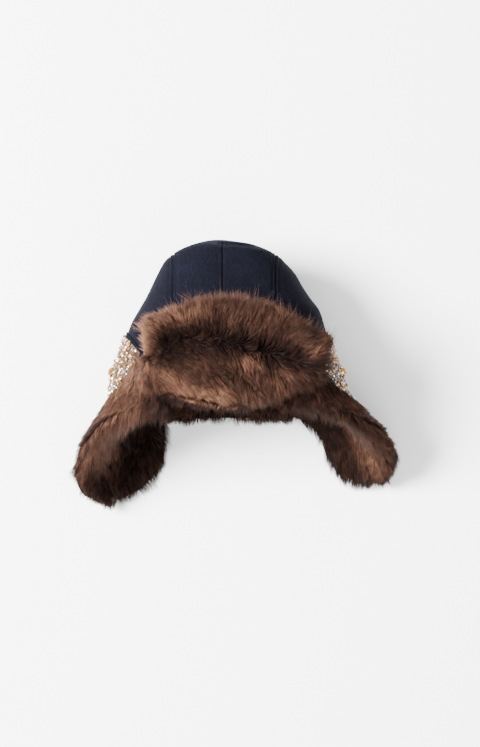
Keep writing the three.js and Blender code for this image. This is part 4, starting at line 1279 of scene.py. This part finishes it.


# The nape's pile, inside and below the rear edge, in near-black tones that are painted shade in the hat's
# opening under the visor
def build_nape_fur():
    rng = np.random.default_rng(71)
    rows, columns, n = 22, 64, 8200
    outside = -(CROWN_CLOTH + LINING_PILE + 3 * GAP)
    low = -NAPE_DROP - 2 * GAP - NAPE_LIP
    turn, v = np.meshgrid(np.linspace(0, 1, rows), np.linspace(-1, 1, columns), indexing="ij")
    phi = math.radians(270) + v * math.radians(NAPE_SPAN)
    y = mix(NAPE_RISE, low, smooth(turn, 0, 0.82))
    lip = smooth(turn, 0.72, 1.0)
    inner = crown_point(y + 2 * lip, phi, mix(outside - NAPE_PILE * 0.6, outside - 1, lip))
    outer = crown_point(y, phi, mix(outside, -1.0, smooth(turn, 0.8, 0.9)))
    pelt = slab(inner, outer)
    pelt["co"][:, 2] = np.maximum(pelt["co"][:, 2], 0.5)
    # Painted shade: the nape's skin and hairs are given near-black tones.
    dress(pelt, ROOT_AND_SHADE_BROWN * 1.2, np.stack([v * 60, y, 0 * y], -1))
    v = rng.uniform(-1.14, 1.14, n)
    phi = math.radians(270) + v * math.radians(NAPE_SPAN)
    y = mix(low + 1, NAPE_RISE, rng.uniform(0, 1, n) ** 1.4)
    out = np.where(y < -NAPE_DROP, rng.uniform(outside - NAPE_PILE * 0.5, -3, n), outside - NAPE_PILE * 0.4)
    flow = unit(np.stack([v * 0.25, np.full(n, -1.0), np.full(n, 0.05)], -1))
    low_end = 1 - smooth(y, low, low + 14)
    length = mix(14.0, 11.0, low_end) * (1 + 0.3 * np.sin(v * 31) * np.sin(v * 13 + 1))
    up, lift = np.array([0.0, 0.0, 1.0]), mix(0.5, 0.2, low_end)
    hair = hairs(rng, crown_point(y, phi, out), up, flow, length, 0.5, lift, 0.2, clump=(14, 0.5))
    hair["co"][..., 2] = np.maximum(hair["co"][..., 2], HAIR_FLOOR_GAP)
    make_piece("nape_fur_pile", [pelt, hair], [UNDERCOAT, HAIR], ["nape_fur"])


build_nape_fur()


# The floor, the light and the camera
def add_object(name, data):
    made = bpy.data.objects.new(name, data)
    bpy.context.scene.collection.objects.link(made)
    return made


def build_floor(half=12.0):
    mesh = bpy.data.meshes.new("floor")
    corners = [(-half, -half, 0), (half, -half, 0), (half, half, 0), (-half, half, 0)]
    mesh.from_pydata(corners, [], [(0, 1, 2, 3)])
    mesh.materials.append(material("floor_white", (0.95, 0.95, 0.95), 0.9, Specular_IOR_Level=0.1)[0])
    add_object("floor", mesh)


def build_world():
    """A pale studio that grows lighter upwards"""
    world = bpy.data.worlds.new("studio")
    look = Look(world)
    parted = look.node("ShaderNodeSeparateXYZ", Vector=look.node("ShaderNodeTexCoord").outputs["Generated"])
    rise = look.ramp(parted.outputs["Z"], (0.0, (0.5, 0.5, 0.51)), (0.35, (0.8, 0.8, 0.82)),
                     (0.7, (1.6, 1.6, 1.6)), (1.0, (2.2, 2.2, 2.2)))
    look.put(look.nodes["Background"].inputs["Color"], rise)
    bpy.context.scene.world = world


def area_light(name, place, size, power):
    data = bpy.data.lights.new(name, "AREA")
    data.shape = "DISK"
    data.size = size
    data.energy = power
    light = add_object(name, data)
    light.location = place
    light.rotation_euler = (Vector((0, 0, 0.05)) - Vector(place)).to_track_quat("-Z", "Y").to_euler()


build_floor()
build_world()
area_light("key", (-1.65, 0.35, 2.05), 1.1, 540)
area_light("fill", (0.6, -1.6, 2.4), 1.6, 50)

# The camera looks straight down at a point of the hat.
CAMERA_AT = np.array([13.0, 26.5, 2200.0])
camera_data = bpy.data.cameras.new("camera")
camera_data.lens = 101.7
camera_data.sensor_width = 36
camera = add_object("camera", camera_data)
camera.location = (CAMERA_AT + SHIFT) / 1000
bpy.context.scene.camera = camera
